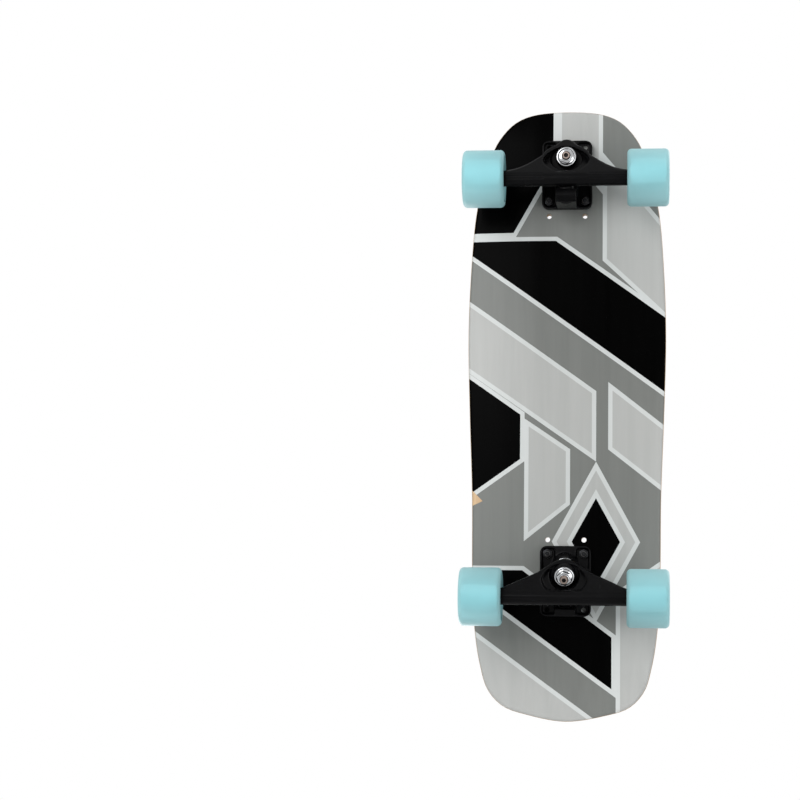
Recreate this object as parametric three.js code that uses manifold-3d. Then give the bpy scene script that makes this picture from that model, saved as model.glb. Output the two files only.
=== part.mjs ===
// A surf skateboard that stands on its wheels, in millimetres, with +Z up and the nose at +Y.
// The origin lies on the floor, under the middle of the deck.
import * as THREE from "three";
import { mergeVertices } from "three/addons/utils/BufferGeometryUtils.js";
import Module from "manifold-3d";

// Deck
const deckLength = 705;
const deckWidth = 228;
const deckThickness = 11.5;
const deckEdgeRadius = 3;
const flatHalfWidth = 32;
const concaveRise = 7;
const tailKickLength = 106.5;
const tailRise = 15;
const noseKickLength = 40.5;
const noseRise = 4;
const spineSetback = 72;
const concaveExponent = 1.7;
const kickExponent = 1.6;
const gripThickness = 1;
const glueGap = 0.2;

// Truck bolts and their holes
const boltAcross = 41.3;
const boltAlong = 54;
const spareHoleShift = 16.2;
const boltDiameter = 4.8;
const boltHoleDiameter = 5.8;
const boltHeadDiameter = 10.8;
const boltHeadHeight = 3.2;
const boltHeadRim = 0.5;
const boltSocketWidth = 3.4;
const boltSocketDepth = 2;
const boltTipLength = 2.5;
const lockNutWidth = 9.5;
const lockNutHeight = 4.6;
const lockNutCollarHeight = 1.6;
const lockNutCollarRadius = 3.9;

// Stance
const rideHeight = 62;
const noseToBolts = 81;
const tailToBolts = 163.3;
const frontAxleSetback = 11.5;
const rearAxleSetback = 22.8;

// Wheels
const wheelDiameter = 65;
const wheelWidth = 47;
const wheelLipRadius = 5;
const wheelFaceRadius = 27;
const wheelFaceDrop = 1.4;
const coreRadius = 17;
const coreWidth = 28;
const bearingDiameter = 22;
const bearingWidth = 7;
const bearingRingWall = 1.6;
const bearingShieldInset = 0.5;
const innerRaceRadius = 6;
const spacerLength = 10;
const spacerRadius = 5.2;
const speedWasherThickness = 1;
const coreShoulderRadius = 8.6;
const coreShift = 3.3;

// Axle
const axleDiameter = 8;
const hangerWidth = 165;
const axleTipLength = 0.9;
const axleNutWidth = 12.7;
const axleNutHeight = 4.6;
const axleNutCollarHeight = 1.8;
const axleNutCollarRadius = 5.4;

// Baseplates
const plateShift = 4;
const nutSideRoom = 0.3;
const nutEndRoom = 1.6;
const plateSpareHoleShift = 9.5;
const plateThickness = 9;
const plateCornerRadius = 8;
const plateEdgeBevel = 1.6;
const pocketFloor = 5;
const spineWidth = 24;
const rimWidth = 2.6;
const middlePocketLength = 16.4;
const pocketCornerRadius = 3;
const pocketRibWidth = 3.2;
const kingpinBossRadius = 13.5;
const pivotHousingWidth = 23;
const pivotHousingRadius = 10.5;
const pivotHousingWall = 2;

// Kingpin stack, measured along the kingpin from the middle of the hanger's ring
const ringThickness = 8;
const ringBoreRadius = 8;
const bushingSeatDepth = 1.5;
const boardsideBushingHeight = 10.8;
const boardsideBushingRadius = 12.4;
const boardsideBushingEndRadius = 11.2;
const roadsideBushingHeight = 12.6;
const roadsideBushingRadius = 12.2;
const roadsideBushingEndRadius = 9.4;
const washerThickness = 2;
const washerRimDepth = 1.2;
const boardsideWasherRadius = 13.4;
const roadsideWasherRadius = 11.5;
const washerRimWall = 1.3;
const kingpinDiameter = 9.5;
const kingpinHeadWidth = 14;
const kingpinHeadHeight = 6;
const kingpinNutWidth = 14.3;
const kingpinNutHeight = 6.4;
const kingpinNutCollarHeight = 2.2;
const kingpinNutCollarRadius = 6.1;
const kingpinTipLength = 3.4;
const kingpinTipChamfer = 0.9;
const kingpinSocketWidth = 4.8;
const kingpinSocketDepth = 4;

// Pivots
const pivotCupRadius = 7.5;
const pivotCupDepth = 8;
const pivotMouth = 1;
const pivotCupFloor = 1.4;
const pivotTipRadius = 4.4;
const pivotStemRadius = 5.8;
const pivotRootRadius = 8.6;
const pivotStemReach = 34;
const gussetWidth = 14;
const gussetClearance = 2.6;

// Hangers
const tubeRadius = 8.7;

// Clearances
const seatGap = 0.3;
const pinGap = 0.3;
const overrun = 5;

// Steering geometry of each truck, from the axle's centre, and its hanger's shape
const frontRingAhead = 29.5;
const frontRingAbove = 33.5;
const frontKingpinAngle = 4;
const frontPivotBehind = 17;
const frontPivotAbove = 9;
const frontHousingSetback = 24;
const frontHousingFlare = 9;
const frontApexReach = 52;
const frontApexHeight = 31.5;
const frontApexRadius = 6;
const frontBossWide = 27.5;
const frontBossLong = 18;
const frontBowlWide = 24;
const frontBowlLong = 14.8;
const frontBowlSetback = 1.8;
const frontArmShares = [
  [0, 1], [0.06, 0.97], [0.13, 0.85], [0.3, 0.56], [0.5, 0.27], [0.67, 0.1], [0.85, 0.02], [1, 0],
];

const rearRingAhead = 28;
const rearRingAbove = 25;
const rearKingpinAngle = 17;
const rearPivotBehind = 9.5;
const rearPivotAbove = 42.5;
const rearHousingSetback = 20.5;
const rearHousingFlare = 1;
const rearApexReach = 40;
const rearApexHeight = 22;
const rearApexRadius = 6.5;
const rearBossWide = 22;
const rearBossLong = 16;
const rearBowlWide = 17.5;
const rearBowlLong = 13.4;
const rearBowlSetback = 0;
const rearArmShares = [
  [0, 1], [0.12, 0.97], [0.24, 0.84], [0.36, 0.63], [0.61, 0.33], [0.85, 0.05], [1, 0],
];

// Deck outline from nose to tail: share of the half length, share of the half width
const outlineShares = [
  [1, 0], [0.99, 0.355], [0.964, 0.538], [0.911, 0.69], [0.859, 0.772], [0.76, 0.868], [0.65, 0.934],
  [0.49, 0.975], [0.26, 1], [0, 0.981], [-0.27, 0.95], [-0.56, 0.939], [-0.717, 0.909], [-0.82, 0.858],
  [-0.9, 0.782], [-0.953, 0.63], [-0.98, 0.386], [-1, 0],
];
// How far out each lengthwise line of the pressed skin lies, from the spine to the rim
const skinShares = [0, 0.28, 0.64, 1];
// Cut-out windows of the grip: shares of the half width and of the half length, corner by corner
const gripWindowShares = [
  [[0.2, -1.1], [1.3, -0.42], [1.3, -1.1]],
  [[-1.3, 0.22], [-1.3, 0.44], [-0.16, 0.08], [-0.16, -0.14]],
  [[0.42, 0.36], [0.58, 0.5], [0.42, 0.64], [0.26, 0.5]],
];

// Facets
const outlineSteps = 22;
const tipCrowdingShare = 0.85;
const boltSides = 8;
const pinSides = 12;
const holeSides = 8;
const cupSides = 10;
const washerSides = 12;
const wheelSides = 22;
const bearingSides = 12;
const sectionSides = 12;
const armSteps = 6;
const bossSides = 16;
const cornerSteps = 2;
const lipSteps = 2;

const wasm = await Module();
wasm.setup();

const axleHeight = wheelDiameter / 2;
const halfDeck = deckLength / 2;
const halfDeckWidth = deckWidth / 2;
const frontBoltCentre = halfDeck - noseToBolts;
const rearBoltCentre = tailToBolts - halfDeck;
const tubeHalf = hangerWidth / 2;
const axleRadius = axleDiameter / 2;
const kingpinRadius = kingpinDiameter / 2;
const undersideHeight = axleHeight + rideHeight;

const finish = (colour, roughness, metalness) =>
  new THREE.MeshStandardMaterial({ color: colour, roughness, metalness });

const finishes = {
  maple: finish(0xd9b98a, 0.45, 0),
  grip: finish(0x2c2d30, 0.95, 0),
  blackMetal: finish(0x1b1c1e, 0.45, 0.4),
  steel: finish(0xc9ccd0, 0.28, 1),
  blackSteel: finish(0x26282b, 0.4, 0.8),
  urethane: finish(0x86cbd6, 0.4, 0),
  bushing: finish(0x17181a, 0.55, 0),
  cup: finish(0x202124, 0.6, 0),
  core: finish(0xeef1f1, 0.4, 0),
  bearing: finish(0xb8bcc0, 0.3, 0.9),
};

// A solid from a closed geometry, with its shared corners merged and its faces turned outwards
function toSolid(geometry) {
  const bare = geometry.index ? geometry.toNonIndexed() : geometry.clone();
  bare.deleteAttribute("normal");
  bare.deleteAttribute("uv");
  const merged = mergeVertices(bare);
  const places = merged.attributes.position.array;
  const faces = [];
  for (let i = 0; i < merged.index.count; i += 3) {
    const [a, b, c] = merged.index.array.slice(i, i + 3);
    if (a !== b && b !== c && c !== a) {
      faces.push([a, b, c]);
    }
  }
  const corner = (k) => new THREE.Vector3().fromArray(places, 3 * k);
  const volume = faces.reduce((sum, [a, b, c]) => sum + corner(a).dot(corner(b).cross(corner(c))), 0);
  const triVerts = Uint32Array.from(faces.flatMap(([a, b, c]) => (volume < 0 ? [a, c, b] : [a, b, c])));
  return new wasm.Manifold(new wasm.Mesh({ numProp: 3, vertProperties: places, triVerts }));
}

function toGeometry(solid) {
  const mesh = solid.getMesh();
  const geometry = new THREE.BufferGeometry();
  geometry.setAttribute("position", new THREE.BufferAttribute(Float32Array.from(mesh.vertProperties), 3));
  geometry.setIndex(new THREE.BufferAttribute(Uint32Array.from(mesh.triVerts), 1));
  geometry.computeVertexNormals();
  return geometry;
}

function addPiece(parent, name, solid, material) {
  const mesh = new THREE.Mesh(toGeometry(solid), material);
  mesh.name = name;
  parent.add(mesh);
  return mesh;
}

// A closed skin over rows of points, each row a closed loop, with flat ends where asked.
// From the turning row on, each four-sided patch is split along its other diagonal.
function skin(rows, capped, turningRow = rows.length) {
  const count = rows[0].length;
  const corners = rows.flat();
  const faces = [];
  for (let r = 0; r + 1 < rows.length; r += 1) {
    for (let j = 0; j < count; j += 1) {
      const a = r * count + j;
      const b = r * count + ((j + 1) % count);
      if (r < turningRow) {
        faces.push(a, b, a + count, b, b + count, a + count);
      } else {
        faces.push(a, b, b + count, a, b + count, a + count);
      }
    }
  }
  if (capped) {
    const last = (rows.length - 1) * count;
    for (let j = 1; j + 1 < count; j += 1) {
      faces.push(0, j + 1, j, last, last + j, last + j + 1);
    }
  }
  const geometry = new THREE.BufferGeometry().setFromPoints(corners);
  geometry.setIndex(faces);
  return toSolid(geometry);
}

// A turned solid about the Z axis, from [radius, height] points
function turned(profile, sides) {
  const points = profile.map(([radius, height]) => new THREE.Vector2(radius, height));
  return toSolid(new THREE.LatheGeometry(points, sides).rotateX(Math.PI / 2));
}

function turnedRing(profile, sides) {
  return turned([...profile, profile[0]], sides);
}

function rod(radius, from, to, sides) {
  return turned([[0, from], [radius, from], [radius, to], [0, to]], sides);
}

function prism(shape, from, to, curveSegments = cornerSteps) {
  const settings = { depth: to - from, bevelEnabled: false, curveSegments };
  return toSolid(new THREE.ExtrudeGeometry(shape, settings).translate(0, 0, from));
}

// A prism along X over an outline of [y, z] points
function crossPrism(outline, width) {
  const shape = new THREE.Shape(outline.map(([y, z]) => new THREE.Vector2(y, z)));
  const geometry = new THREE.ExtrudeGeometry(shape, { depth: width, bevelEnabled: false });
  geometry.translate(0, 0, -width / 2);
  geometry.applyMatrix4(new THREE.Matrix4().makeBasis(
    new THREE.Vector3(0, 1, 0), new THREE.Vector3(0, 0, 1), new THREE.Vector3(1, 0, 0)));
  return toSolid(geometry);
}

function hexagon(acrossFlats) {
  const radius = acrossFlats / Math.sqrt(3);
  const corners = Array.from({ length: 6 }, (_, k) => new THREE.Vector2(
    radius * Math.cos((k * Math.PI) / 3), radius * Math.sin((k * Math.PI) / 3)));
  return new THREE.Shape(corners);
}

function roundedRectangle(width, length, radius) {
  const x = width / 2 - radius;
  const y = length / 2 - radius;
  const quarter = Math.PI / 2;
  const shape = new THREE.Shape();
  shape.absarc(x, y, radius, 0, quarter, false);
  shape.absarc(-x, y, radius, quarter, 2 * quarter, false);
  shape.absarc(-x, -y, radius, 2 * quarter, 3 * quarter, false);
  shape.absarc(x, -y, radius, 3 * quarter, 4 * quarter, false);
  shape.closePath();
  return shape;
}

function oval(centreY, halfX, halfY) {
  const shape = new THREE.Shape();
  shape.absellipse(0, centreY, halfX, halfY, 0, 2 * Math.PI, false, 0);
  return shape;
}

// The same solid in another frame
function moved(solid, matrix) {
  return solid.transform(matrix.elements);
}

const shifted = (solid, x, y, z) => moved(solid, new THREE.Matrix4().makeTranslation(x, y, z));

// The nut of every stud: a hex with a round collar at its outer end, bored clear of the thread
function collarNut(width, height, collarRadius, collarHeight, threadRadius, sides) {
  const collar = turned([
    [0, 0], [collarRadius, 0], [collarRadius, height + collarHeight], [0, height + collarHeight],
  ], sides);
  const bore = rod(threadRadius + pinGap, -overrun, height + collarHeight + overrun, sides);
  return prism(hexagon(width), 0, height).add(collar).subtract(bore);
}

// Deck and grip

// The rim from nose to tail on the right and back on the left, drawn in by an inset
function rimPoints(inset) {
  const right = outlineShares.map(([along, across]) =>
    new THREE.Vector3(across * halfDeckWidth, along * halfDeck, 0));
  const left = right.slice(1, -1).reverse().map((p) => new THREE.Vector3(-p.x, p.y, 0));
  const rim = new THREE.CatmullRomCurve3([...right, ...left], true, "centripetal");
  const half = [];
  for (let k = 0; k <= outlineSteps; k += 1) {
    const even = k / outlineSteps;
    const crowded = (1 - Math.cos(Math.PI * even)) / 2;
    const u = THREE.MathUtils.lerp(even, crowded, tipCrowdingShare) / 2;
    const tip = k === 0 || k === outlineSteps;
    const point = rim.getPointAt(u);
    const tangent = tip ? new THREE.Vector3(k === 0 ? 1 : -1, 0, 0) : rim.getTangentAt(u);
    const outward = new THREE.Vector3(-tangent.y, tangent.x, 0);
    point.addScaledVector(outward, -inset);
    half.push(tip ? point.setX(0) : point);
  }
  const mirrored = half.slice(1, -1).reverse().map((p) => new THREE.Vector3(-p.x, p.y, 0));
  return [...half, ...mirrored];
}

// How far the press lifts the laminate above its flat middle
function pressLift(x, y) {
  const side = Math.max(0, Math.abs(x) - flatHalfWidth) / (halfDeckWidth - flatHalfWidth);
  const tail = Math.max(0, -y - halfDeck + tailKickLength) / tailKickLength;
  const nose = Math.max(0, y - halfDeck + noseKickLength) / noseKickLength;
  return concaveRise * side ** concaveExponent + tailRise * tail ** kickExponent
    + noseRise * nose ** kickExponent;
}

// A pressed sheet with rounded edges, whose lower face is at the given height in the middle
function pressedSheet(inset, floor, thickness, edgeRadius) {
  const rowAt = (depth, height, share) => {
    const rim = rimPoints(inset + depth);
    return rim.map((point) => {
      const limit = halfDeck - spineSetback;
      const spine = new THREE.Vector3(0, THREE.MathUtils.clamp(point.y, -limit, limit), 0);
      const place = spine.lerp(point, share);
      return place.setZ(floor + height + pressLift(place.x, place.y));
    });
  };
  const rows = skinShares.map((share) => rowAt(edgeRadius, 0, share));
  const turns = edgeRadius > 0 ? [Math.PI / 4, Math.PI / 2] : [];
  const edge = turns.map((turn) => [edgeRadius * (1 - Math.sin(turn)), edgeRadius * (1 - Math.cos(turn))]);
  edge.forEach(([depth, height]) => rows.push(rowAt(depth, height, 1)));
  edge.reverse().forEach(([depth, height]) => rows.push(rowAt(depth, thickness - height, 1)));
  [...skinShares].reverse().forEach((share) => rows.push(rowAt(edgeRadius, thickness, share)));
  return skin(rows, false, rows.length / 2);
}

const deckTop = undersideHeight + deckThickness;
const gripFloor = deckTop + glueGap;
const gripTop = gripFloor + gripThickness;
const patterns = [
  { centre: frontBoltCentre, name: "front" },
  { centre: rearBoltCentre, name: "rear" },
];

function boltPlaces(centre) {
  return [[-1, 1], [1, 1], [-1, -1], [1, -1]].map(([side, end]) =>
    [side * boltAcross / 2, centre + end * boltAlong / 2]);
}

// Bolt holes with countersinks, and a second, open pattern nearer the middle of the board
function cutBoltHoles(sheet, clearFloor) {
  let cut = sheet;
  const sunk = boltHeadDiameter / 2 + pinGap;
  const thin = boltHoleDiameter / 2;
  patterns.forEach(({ centre, name }) => {
    const inward = name === "front" ? -spareHoleShift : spareHoleShift;
    boltPlaces(centre).forEach(([x, y]) => {
      const used = turned([
        [0, clearFloor - overrun], [thin, clearFloor - overrun], [thin, gripTop - boltHeadHeight],
        [sunk, gripTop - boltHeadRim - pinGap], [sunk, gripTop + overrun], [0, gripTop + overrun],
      ], boltSides);
      const spare = rod(thin, clearFloor - overrun, gripTop + overrun, holeSides);
      cut = cut.subtract(shifted(used, x, y, 0)).subtract(shifted(spare, x, y + inward, 0));
    });
  });
  return cut;
}

function buildDeck(board) {
  const deck = pressedSheet(0, undersideHeight, deckThickness, deckEdgeRadius);
  addPiece(board, "deck", cutBoltHoles(deck, undersideHeight), finishes.maple);
  let grip = pressedSheet(deckEdgeRadius, gripFloor, gripThickness, 0);
  gripWindowShares.forEach((corners) => {
    const outline = corners.map(([across, along]) =>
      new THREE.Vector2(across * halfDeckWidth, along * halfDeck));
    const from = gripFloor - overrun;
    grip = grip.subtract(prism(new THREE.Shape(outline), from, gripTop + tailRise + concaveRise + overrun));
  });
  addPiece(board, "grip_tape", cutBoltHoles(grip, undersideHeight), finishes.grip);
}

// Bolts from the grip through deck and baseplate, and their nuts in the plate's pockets
function buildBolts(board) {
  const nutTop = undersideHeight - seatGap - pocketFloor - seatGap;
  const nutBottom = nutTop - lockNutHeight - lockNutCollarHeight;
  const length = gripTop - nutBottom + boltTipLength;
  const head = boltHeadDiameter / 2;
  const shank = boltDiameter / 2;
  const stud = turned([
    [0, -length], [shank, -length], [shank, -boltHeadHeight - pinGap],
    [head, -boltHeadRim - pinGap], [head, 0], [0, 0],
  ], boltSides);
  const bolt = stud.subtract(prism(hexagon(boltSocketWidth), -boltSocketDepth, overrun));
  const nut = collarNut(lockNutWidth, lockNutHeight, lockNutCollarRadius, lockNutCollarHeight, shank,
    boltSides);
  patterns.forEach(({ centre, name }) => {
    boltPlaces(centre).forEach(([x, y], k) => {
      const screwed = addPiece(board, `${name}_mounting_bolt_${k + 1}`, bolt, finishes.blackSteel);
      screwed.position.set(x, y, gripTop);
      const hung = addPiece(board, `${name}_lock_nut_${k + 1}`, nut, finishes.blackSteel);
      hung.position.set(x, y, nutTop);
      hung.rotation.set(Math.PI, 0, Math.PI / 6);
    });
  });
}

// Trucks: each works in a frame at its axle's centre

const trucks = [
  {
    name: "front", boltCentre: frontBoltCentre, setback: frontAxleSetback, outward: 1,
    ringAhead: frontRingAhead, ringAbove: frontRingAbove, angle: frontKingpinAngle,
    pivotBehind: frontPivotBehind, pivotAbove: frontPivotAbove,
    housingSetback: frontHousingSetback, housingFlare: frontHousingFlare,
    apexReach: frontApexReach, apexHeight: frontApexHeight, apexRadius: frontApexRadius,
    bossWide: frontBossWide, bossLong: frontBossLong,
    bowlWide: frontBowlWide, bowlLong: frontBowlLong, bowlSetback: frontBowlSetback,
    armShares: frontArmShares,
  },
  {
    name: "rear", boltCentre: rearBoltCentre, setback: rearAxleSetback, outward: -1,
    ringAhead: rearRingAhead, ringAbove: rearRingAbove, angle: rearKingpinAngle,
    pivotBehind: rearPivotBehind, pivotAbove: rearPivotAbove,
    housingSetback: rearHousingSetback, housingFlare: rearHousingFlare,
    apexReach: rearApexReach, apexHeight: rearApexHeight, apexRadius: rearApexRadius,
    bossWide: rearBossWide, bossLong: rearBossLong,
    bowlWide: rearBowlWide, bowlLong: rearBowlLong, bowlSetback: rearBowlSetback,
    armShares: rearArmShares,
  },
];

// Heights along the kingpin, from the middle of the ring; the deck side is positive
const boardsideBushingFoot = ringThickness / 2 - bushingSeatDepth + seatGap;
const boardsideWasherFoot = boardsideBushingFoot + boardsideBushingHeight + seatGap;
const bossFace = boardsideWasherFoot + washerThickness + seatGap;
const roadsideBushingFoot = -ringThickness / 2 - seatGap - roadsideBushingHeight;
const roadsideWasherFoot = roadsideBushingFoot - seatGap - washerThickness;
const kingpinNutSeat = roadsideWasherFoot - seatGap;
const kingpinTip = kingpinNutSeat - kingpinNutHeight - kingpinNutCollarHeight - kingpinTipLength;
const kingpinHeadRadius = kingpinHeadWidth / Math.sqrt(3);

function kingpinHeadTop(truck) {
  const lean = THREE.MathUtils.degToRad(truck.angle);
  const toDeck = (rideHeight - truck.ringAbove) / Math.cos(lean);
  return toDeck - kingpinHeadRadius * Math.abs(Math.tan(lean)) - 2 * seatGap;
}

// Local Z runs up the kingpin, from the middle of the ring
function kingpinFrame(truck) {
  const group = new THREE.Group();
  group.position.set(0, truck.ringAhead, truck.ringAbove);
  group.rotation.x = -THREE.MathUtils.degToRad(truck.angle);
  group.updateMatrix();
  return group;
}

// Local Z runs along the steering axis, from the pivot to the middle of the ring
function pivotFrame(truck) {
  const run = truck.ringAhead + truck.pivotBehind;
  const rise = truck.ringAbove - truck.pivotAbove;
  const group = new THREE.Group();
  group.position.set(0, -truck.pivotBehind, truck.pivotAbove);
  group.rotation.x = -Math.atan2(run, rise);
  group.updateMatrix();
  return group;
}

// [y, z] of a point given along the steering axis and square to it, away from the deck
function besidePivot(frame, along, below) {
  const point = new THREE.Vector3(0, below, along).applyMatrix4(frame.matrix);
  return [point.y, point.z];
}

// The plate is as large as its bolts, their nuts and its rim need
const lockNutReach = lockNutWidth / Math.sqrt(3);
const plateWidth = boltAcross + 2 * (lockNutReach + nutSideRoom + rimWidth);
const plateLength = boltAlong + lockNutWidth + 2 * (nutEndRoom + rimWidth + plateShift);
const plateTop = rideHeight - seatGap;
const plateBottom = plateTop - plateThickness;

// The plate reaches further outward than its bolts
function plateCentre(truck) {
  return truck.setback + truck.outward * plateShift;
}

// The slab of the baseplate, with its pockets between rim, spine and ribs
function plateSlab(truck) {
  const centre = plateCentre(truck);
  const ring = (inset, z) => {
    const radius = plateCornerRadius - inset;
    const shape = roundedRectangle(plateWidth - 2 * inset, plateLength - 2 * inset, radius);
    return shape.getPoints(cornerSteps).map((p) => new THREE.Vector3(p.x, p.y + centre, z));
  };
  let slab = skin([
    ring(0, plateTop), ring(0, plateBottom + plateEdgeBevel), ring(plateEdgeBevel, plateBottom),
  ], true);
  const pocketWidth = (plateWidth - spineWidth) / 2 - rimWidth;
  const pocketX = (spineWidth + pocketWidth) / 2;
  const pocketLength = (plateLength - middlePocketLength) / 2 - rimWidth - pocketRibWidth;
  const cornerY = (plateLength - pocketLength) / 2 - rimWidth;
  const pocket = (length) => prism(roundedRectangle(pocketWidth, length, pocketCornerRadius),
    plateBottom - overrun, plateTop - pocketFloor);
  const corner = pocket(pocketLength);
  const middle = pocket(middlePocketLength);
  [-1, 1].forEach((side) => {
    [-1, 1].forEach((end) => {
      slab = slab.subtract(shifted(corner, side * pocketX, centre + end * cornerY, 0));
    });
    slab = slab.subtract(shifted(middle, side * pocketX, centre, 0));
  });
  return slab;
}

function pivotHousing(truck, frame) {
  const root = plateTop - pocketFloor;
  const back = pivotCupDepth + pivotHousingWall;
  return crossPrism([
    [-truck.housingSetback, root],
    besidePivot(frame, -back, 0),
    besidePivot(frame, -pivotCupDepth, pivotHousingRadius),
    besidePivot(frame, pivotMouth, pivotHousingRadius),
    besidePivot(frame, pivotMouth, -pivotHousingRadius),
    [-truck.housingFlare, root],
  ], pivotHousingWidth);
}

function buildBaseplate(parent, truck, kingpin, pivot) {
  const headTop = kingpinHeadTop(truck);
  const boss = rod(kingpinBossRadius, bossFace, headTop, washerSides);
  const bore = rod(kingpinRadius + pinGap, bossFace - overrun, headTop, pinSides);
  const recess = rod(kingpinHeadRadius + pinGap, headTop - kingpinHeadHeight - seatGap, headTop + overrun,
    washerSides);
  const seat = rod(pivotCupRadius + pinGap, -pivotCupDepth - seatGap, pivotMouth + overrun, cupSides);
  const above = prism(roundedRectangle(plateWidth + overrun, plateLength + 2 * overrun, overrun),
    plateTop, plateTop + plateThickness + overrun);
  let plate = plateSlab(truck).add(pivotHousing(truck, pivot)).add(moved(boss, kingpin.matrix));
  plate = plate.subtract(moved(bore, kingpin.matrix)).subtract(moved(recess, kingpin.matrix));
  plate = plate.subtract(moved(seat, pivot.matrix)).subtract(shifted(above, 0, plateCentre(truck), 0));
  const hole = rod(boltHoleDiameter / 2, plateBottom - overrun, plateTop + overrun, boltSides);
  const used = boltPlaces(truck.setback);
  const spare = used.filter(([, y]) => truck.outward * (y - truck.setback) > 0)
    .map(([x, y]) => [x, y + truck.outward * plateSpareHoleShift]);
  [...used, ...spare].forEach(([x, y]) => {
    plate = plate.subtract(shifted(hole, x, y, 0));
  });
  addPiece(parent, `${truck.name}_baseplate`, plate, finishes.blackMetal);
}

// The cup and the stem that turns in it, both turned about the steering axis
function buildPivotCup(pivot, truck) {
  const floor = pivotCupFloor - pivotCupDepth;
  const cup = turned([
    [0, -pivotCupDepth], [pivotCupRadius, -pivotCupDepth], [pivotCupRadius, pivotMouth],
    [pivotStemRadius + pinGap, pivotMouth], [pivotTipRadius + pinGap, floor + pivotTipRadius / 2],
    [pivotTipRadius / 2, floor], [0, floor],
  ], cupSides);
  addPiece(pivot, `${truck.name}_pivot_cup`, cup, finishes.cup);
}

function pivotStem() {
  const tip = pivotCupFloor - pivotCupDepth + seatGap;
  return turned([
    [0, tip], [pivotTipRadius / 2, tip], [pivotTipRadius, tip + pivotTipRadius / 2],
    [pivotStemRadius, pivotMouth + seatGap], [pivotRootRadius, pivotMouth + 2 * gussetClearance],
    [pivotRootRadius, pivotStemReach], [0, pivotStemReach],
  ], cupSides);
}

function buildKingpinStack(kingpin, truck) {
  const { name } = truck;
  const bore = kingpinRadius + pinGap;
  const headTop = kingpinHeadTop(truck);
  const headFoot = headTop - kingpinHeadHeight;
  const shank = turned([
    [0, kingpinTip], [kingpinRadius - kingpinTipChamfer, kingpinTip],
    [kingpinRadius, kingpinTip + kingpinTipChamfer], [kingpinRadius, headFoot + kingpinHeadHeight / 2],
    [0, headFoot + kingpinHeadHeight / 2],
  ], pinSides);
  const socket = prism(hexagon(kingpinSocketWidth), kingpinTip - overrun, kingpinTip + kingpinSocketDepth);
  const pin = shank.add(prism(hexagon(kingpinHeadWidth), headFoot, headTop)).subtract(socket);
  addPiece(kingpin, `${name}_kingpin`, pin, finishes.steel);

  const nut = collarNut(kingpinNutWidth, kingpinNutHeight, kingpinNutCollarRadius, kingpinNutCollarHeight,
    kingpinRadius, pinSides);
  const seatedNut = addPiece(kingpin, `${name}_kingpin_nut`, nut, finishes.steel);
  seatedNut.position.z = kingpinNutSeat;
  seatedNut.rotation.x = Math.PI;

  const rimTop = washerThickness + washerRimDepth;
  const washer = (radius) => turnedRing([
    [bore, 0], [radius, 0], [radius, rimTop], [radius - washerRimWall, rimTop],
    [radius - washerRimWall, washerThickness], [bore, washerThickness],
  ], washerSides);
  const lower = addPiece(kingpin, `${name}_roadside_washer`, washer(roadsideWasherRadius), finishes.steel);
  lower.position.z = roadsideWasherFoot;
  const upper = addPiece(kingpin, `${name}_boardside_washer`, washer(boardsideWasherRadius), finishes.steel);
  upper.position.z = boardsideWasherFoot + washerThickness;
  upper.rotation.x = Math.PI;

  const barrel = turnedRing([
    [bore, 0], [boardsideBushingEndRadius, 0], [boardsideBushingRadius, boardsideBushingHeight / 3],
    [boardsideBushingRadius, 2 * boardsideBushingHeight / 3],
    [boardsideBushingEndRadius, boardsideBushingHeight], [bore, boardsideBushingHeight],
  ], washerSides);
  const cone = turnedRing([
    [bore, 0], [roadsideBushingEndRadius, 0], [roadsideBushingRadius, 2 * roadsideBushingHeight / 3],
    [roadsideBushingRadius, roadsideBushingHeight], [bore, roadsideBushingHeight],
  ], washerSides);
  addPiece(kingpin, `${name}_boardside_bushing`, barrel, finishes.bushing).position.z = boardsideBushingFoot;
  addPiece(kingpin, `${name}_roadside_bushing`, cone, finishes.bushing).position.z = roadsideBushingFoot;
}

// One cut through an arm: the tight wrap round the axle tube and the web's outer edge
function armSection(truck, x, share) {
  const edgeY = share * (truck.apexReach - truck.apexRadius);
  const edgeZ = share * truck.apexHeight;
  const edgeRadius = THREE.MathUtils.lerp(tubeRadius, truck.apexRadius, share);
  return Array.from({ length: sectionSides }, (_, k) => {
    const angle = (2 * Math.PI * k) / sectionSides;
    const y = Math.cos(angle);
    const z = Math.sin(angle);
    const onEdge = edgeY * y + edgeZ * z + edgeRadius > tubeRadius;
    return onEdge
      ? new THREE.Vector3(x, edgeY + edgeRadius * y, edgeZ + edgeRadius * z)
      : new THREE.Vector3(x, tubeRadius * y, tubeRadius * z);
  });
}

function hangerArms(truck) {
  const shares = truck.armShares.map(([along, reach]) => new THREE.Vector2(along, reach));
  const curve = new THREE.SplineCurve(shares);
  const rows = [];
  for (let k = -armSteps; k <= armSteps; k += 1) {
    const { x, y } = curve.getPoint(Math.abs(k) / armSteps);
    rows.push(armSection(truck, Math.sign(k) * x * tubeHalf, THREE.MathUtils.clamp(y, 0, 1)));
  }
  return skin(rows, true);
}

// Everything above the plane that the arms' lower faces lie in
function aboveArms(truck) {
  const reach = truck.apexReach - truck.apexRadius;
  const span = Math.hypot(reach, truck.apexHeight);
  const slope = Math.atan2(truck.apexHeight, reach);
  const tilt = slope + Math.asin((tubeRadius - truck.apexRadius) / span);
  const y = (along, up) => tubeRadius * Math.sin(tilt) + along * Math.cos(tilt) - up * Math.sin(tilt);
  const z = (along, up) => -tubeRadius * Math.cos(tilt) + along * Math.sin(tilt) + up * Math.cos(tilt);
  const far = 2 * truck.apexReach;
  return crossPrism([[-far, 0], [far, 0], [far, far], [-far, far]].map(([a, u]) => [y(a, u), z(a, u)]),
    4 * truck.bossWide);
}

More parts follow.
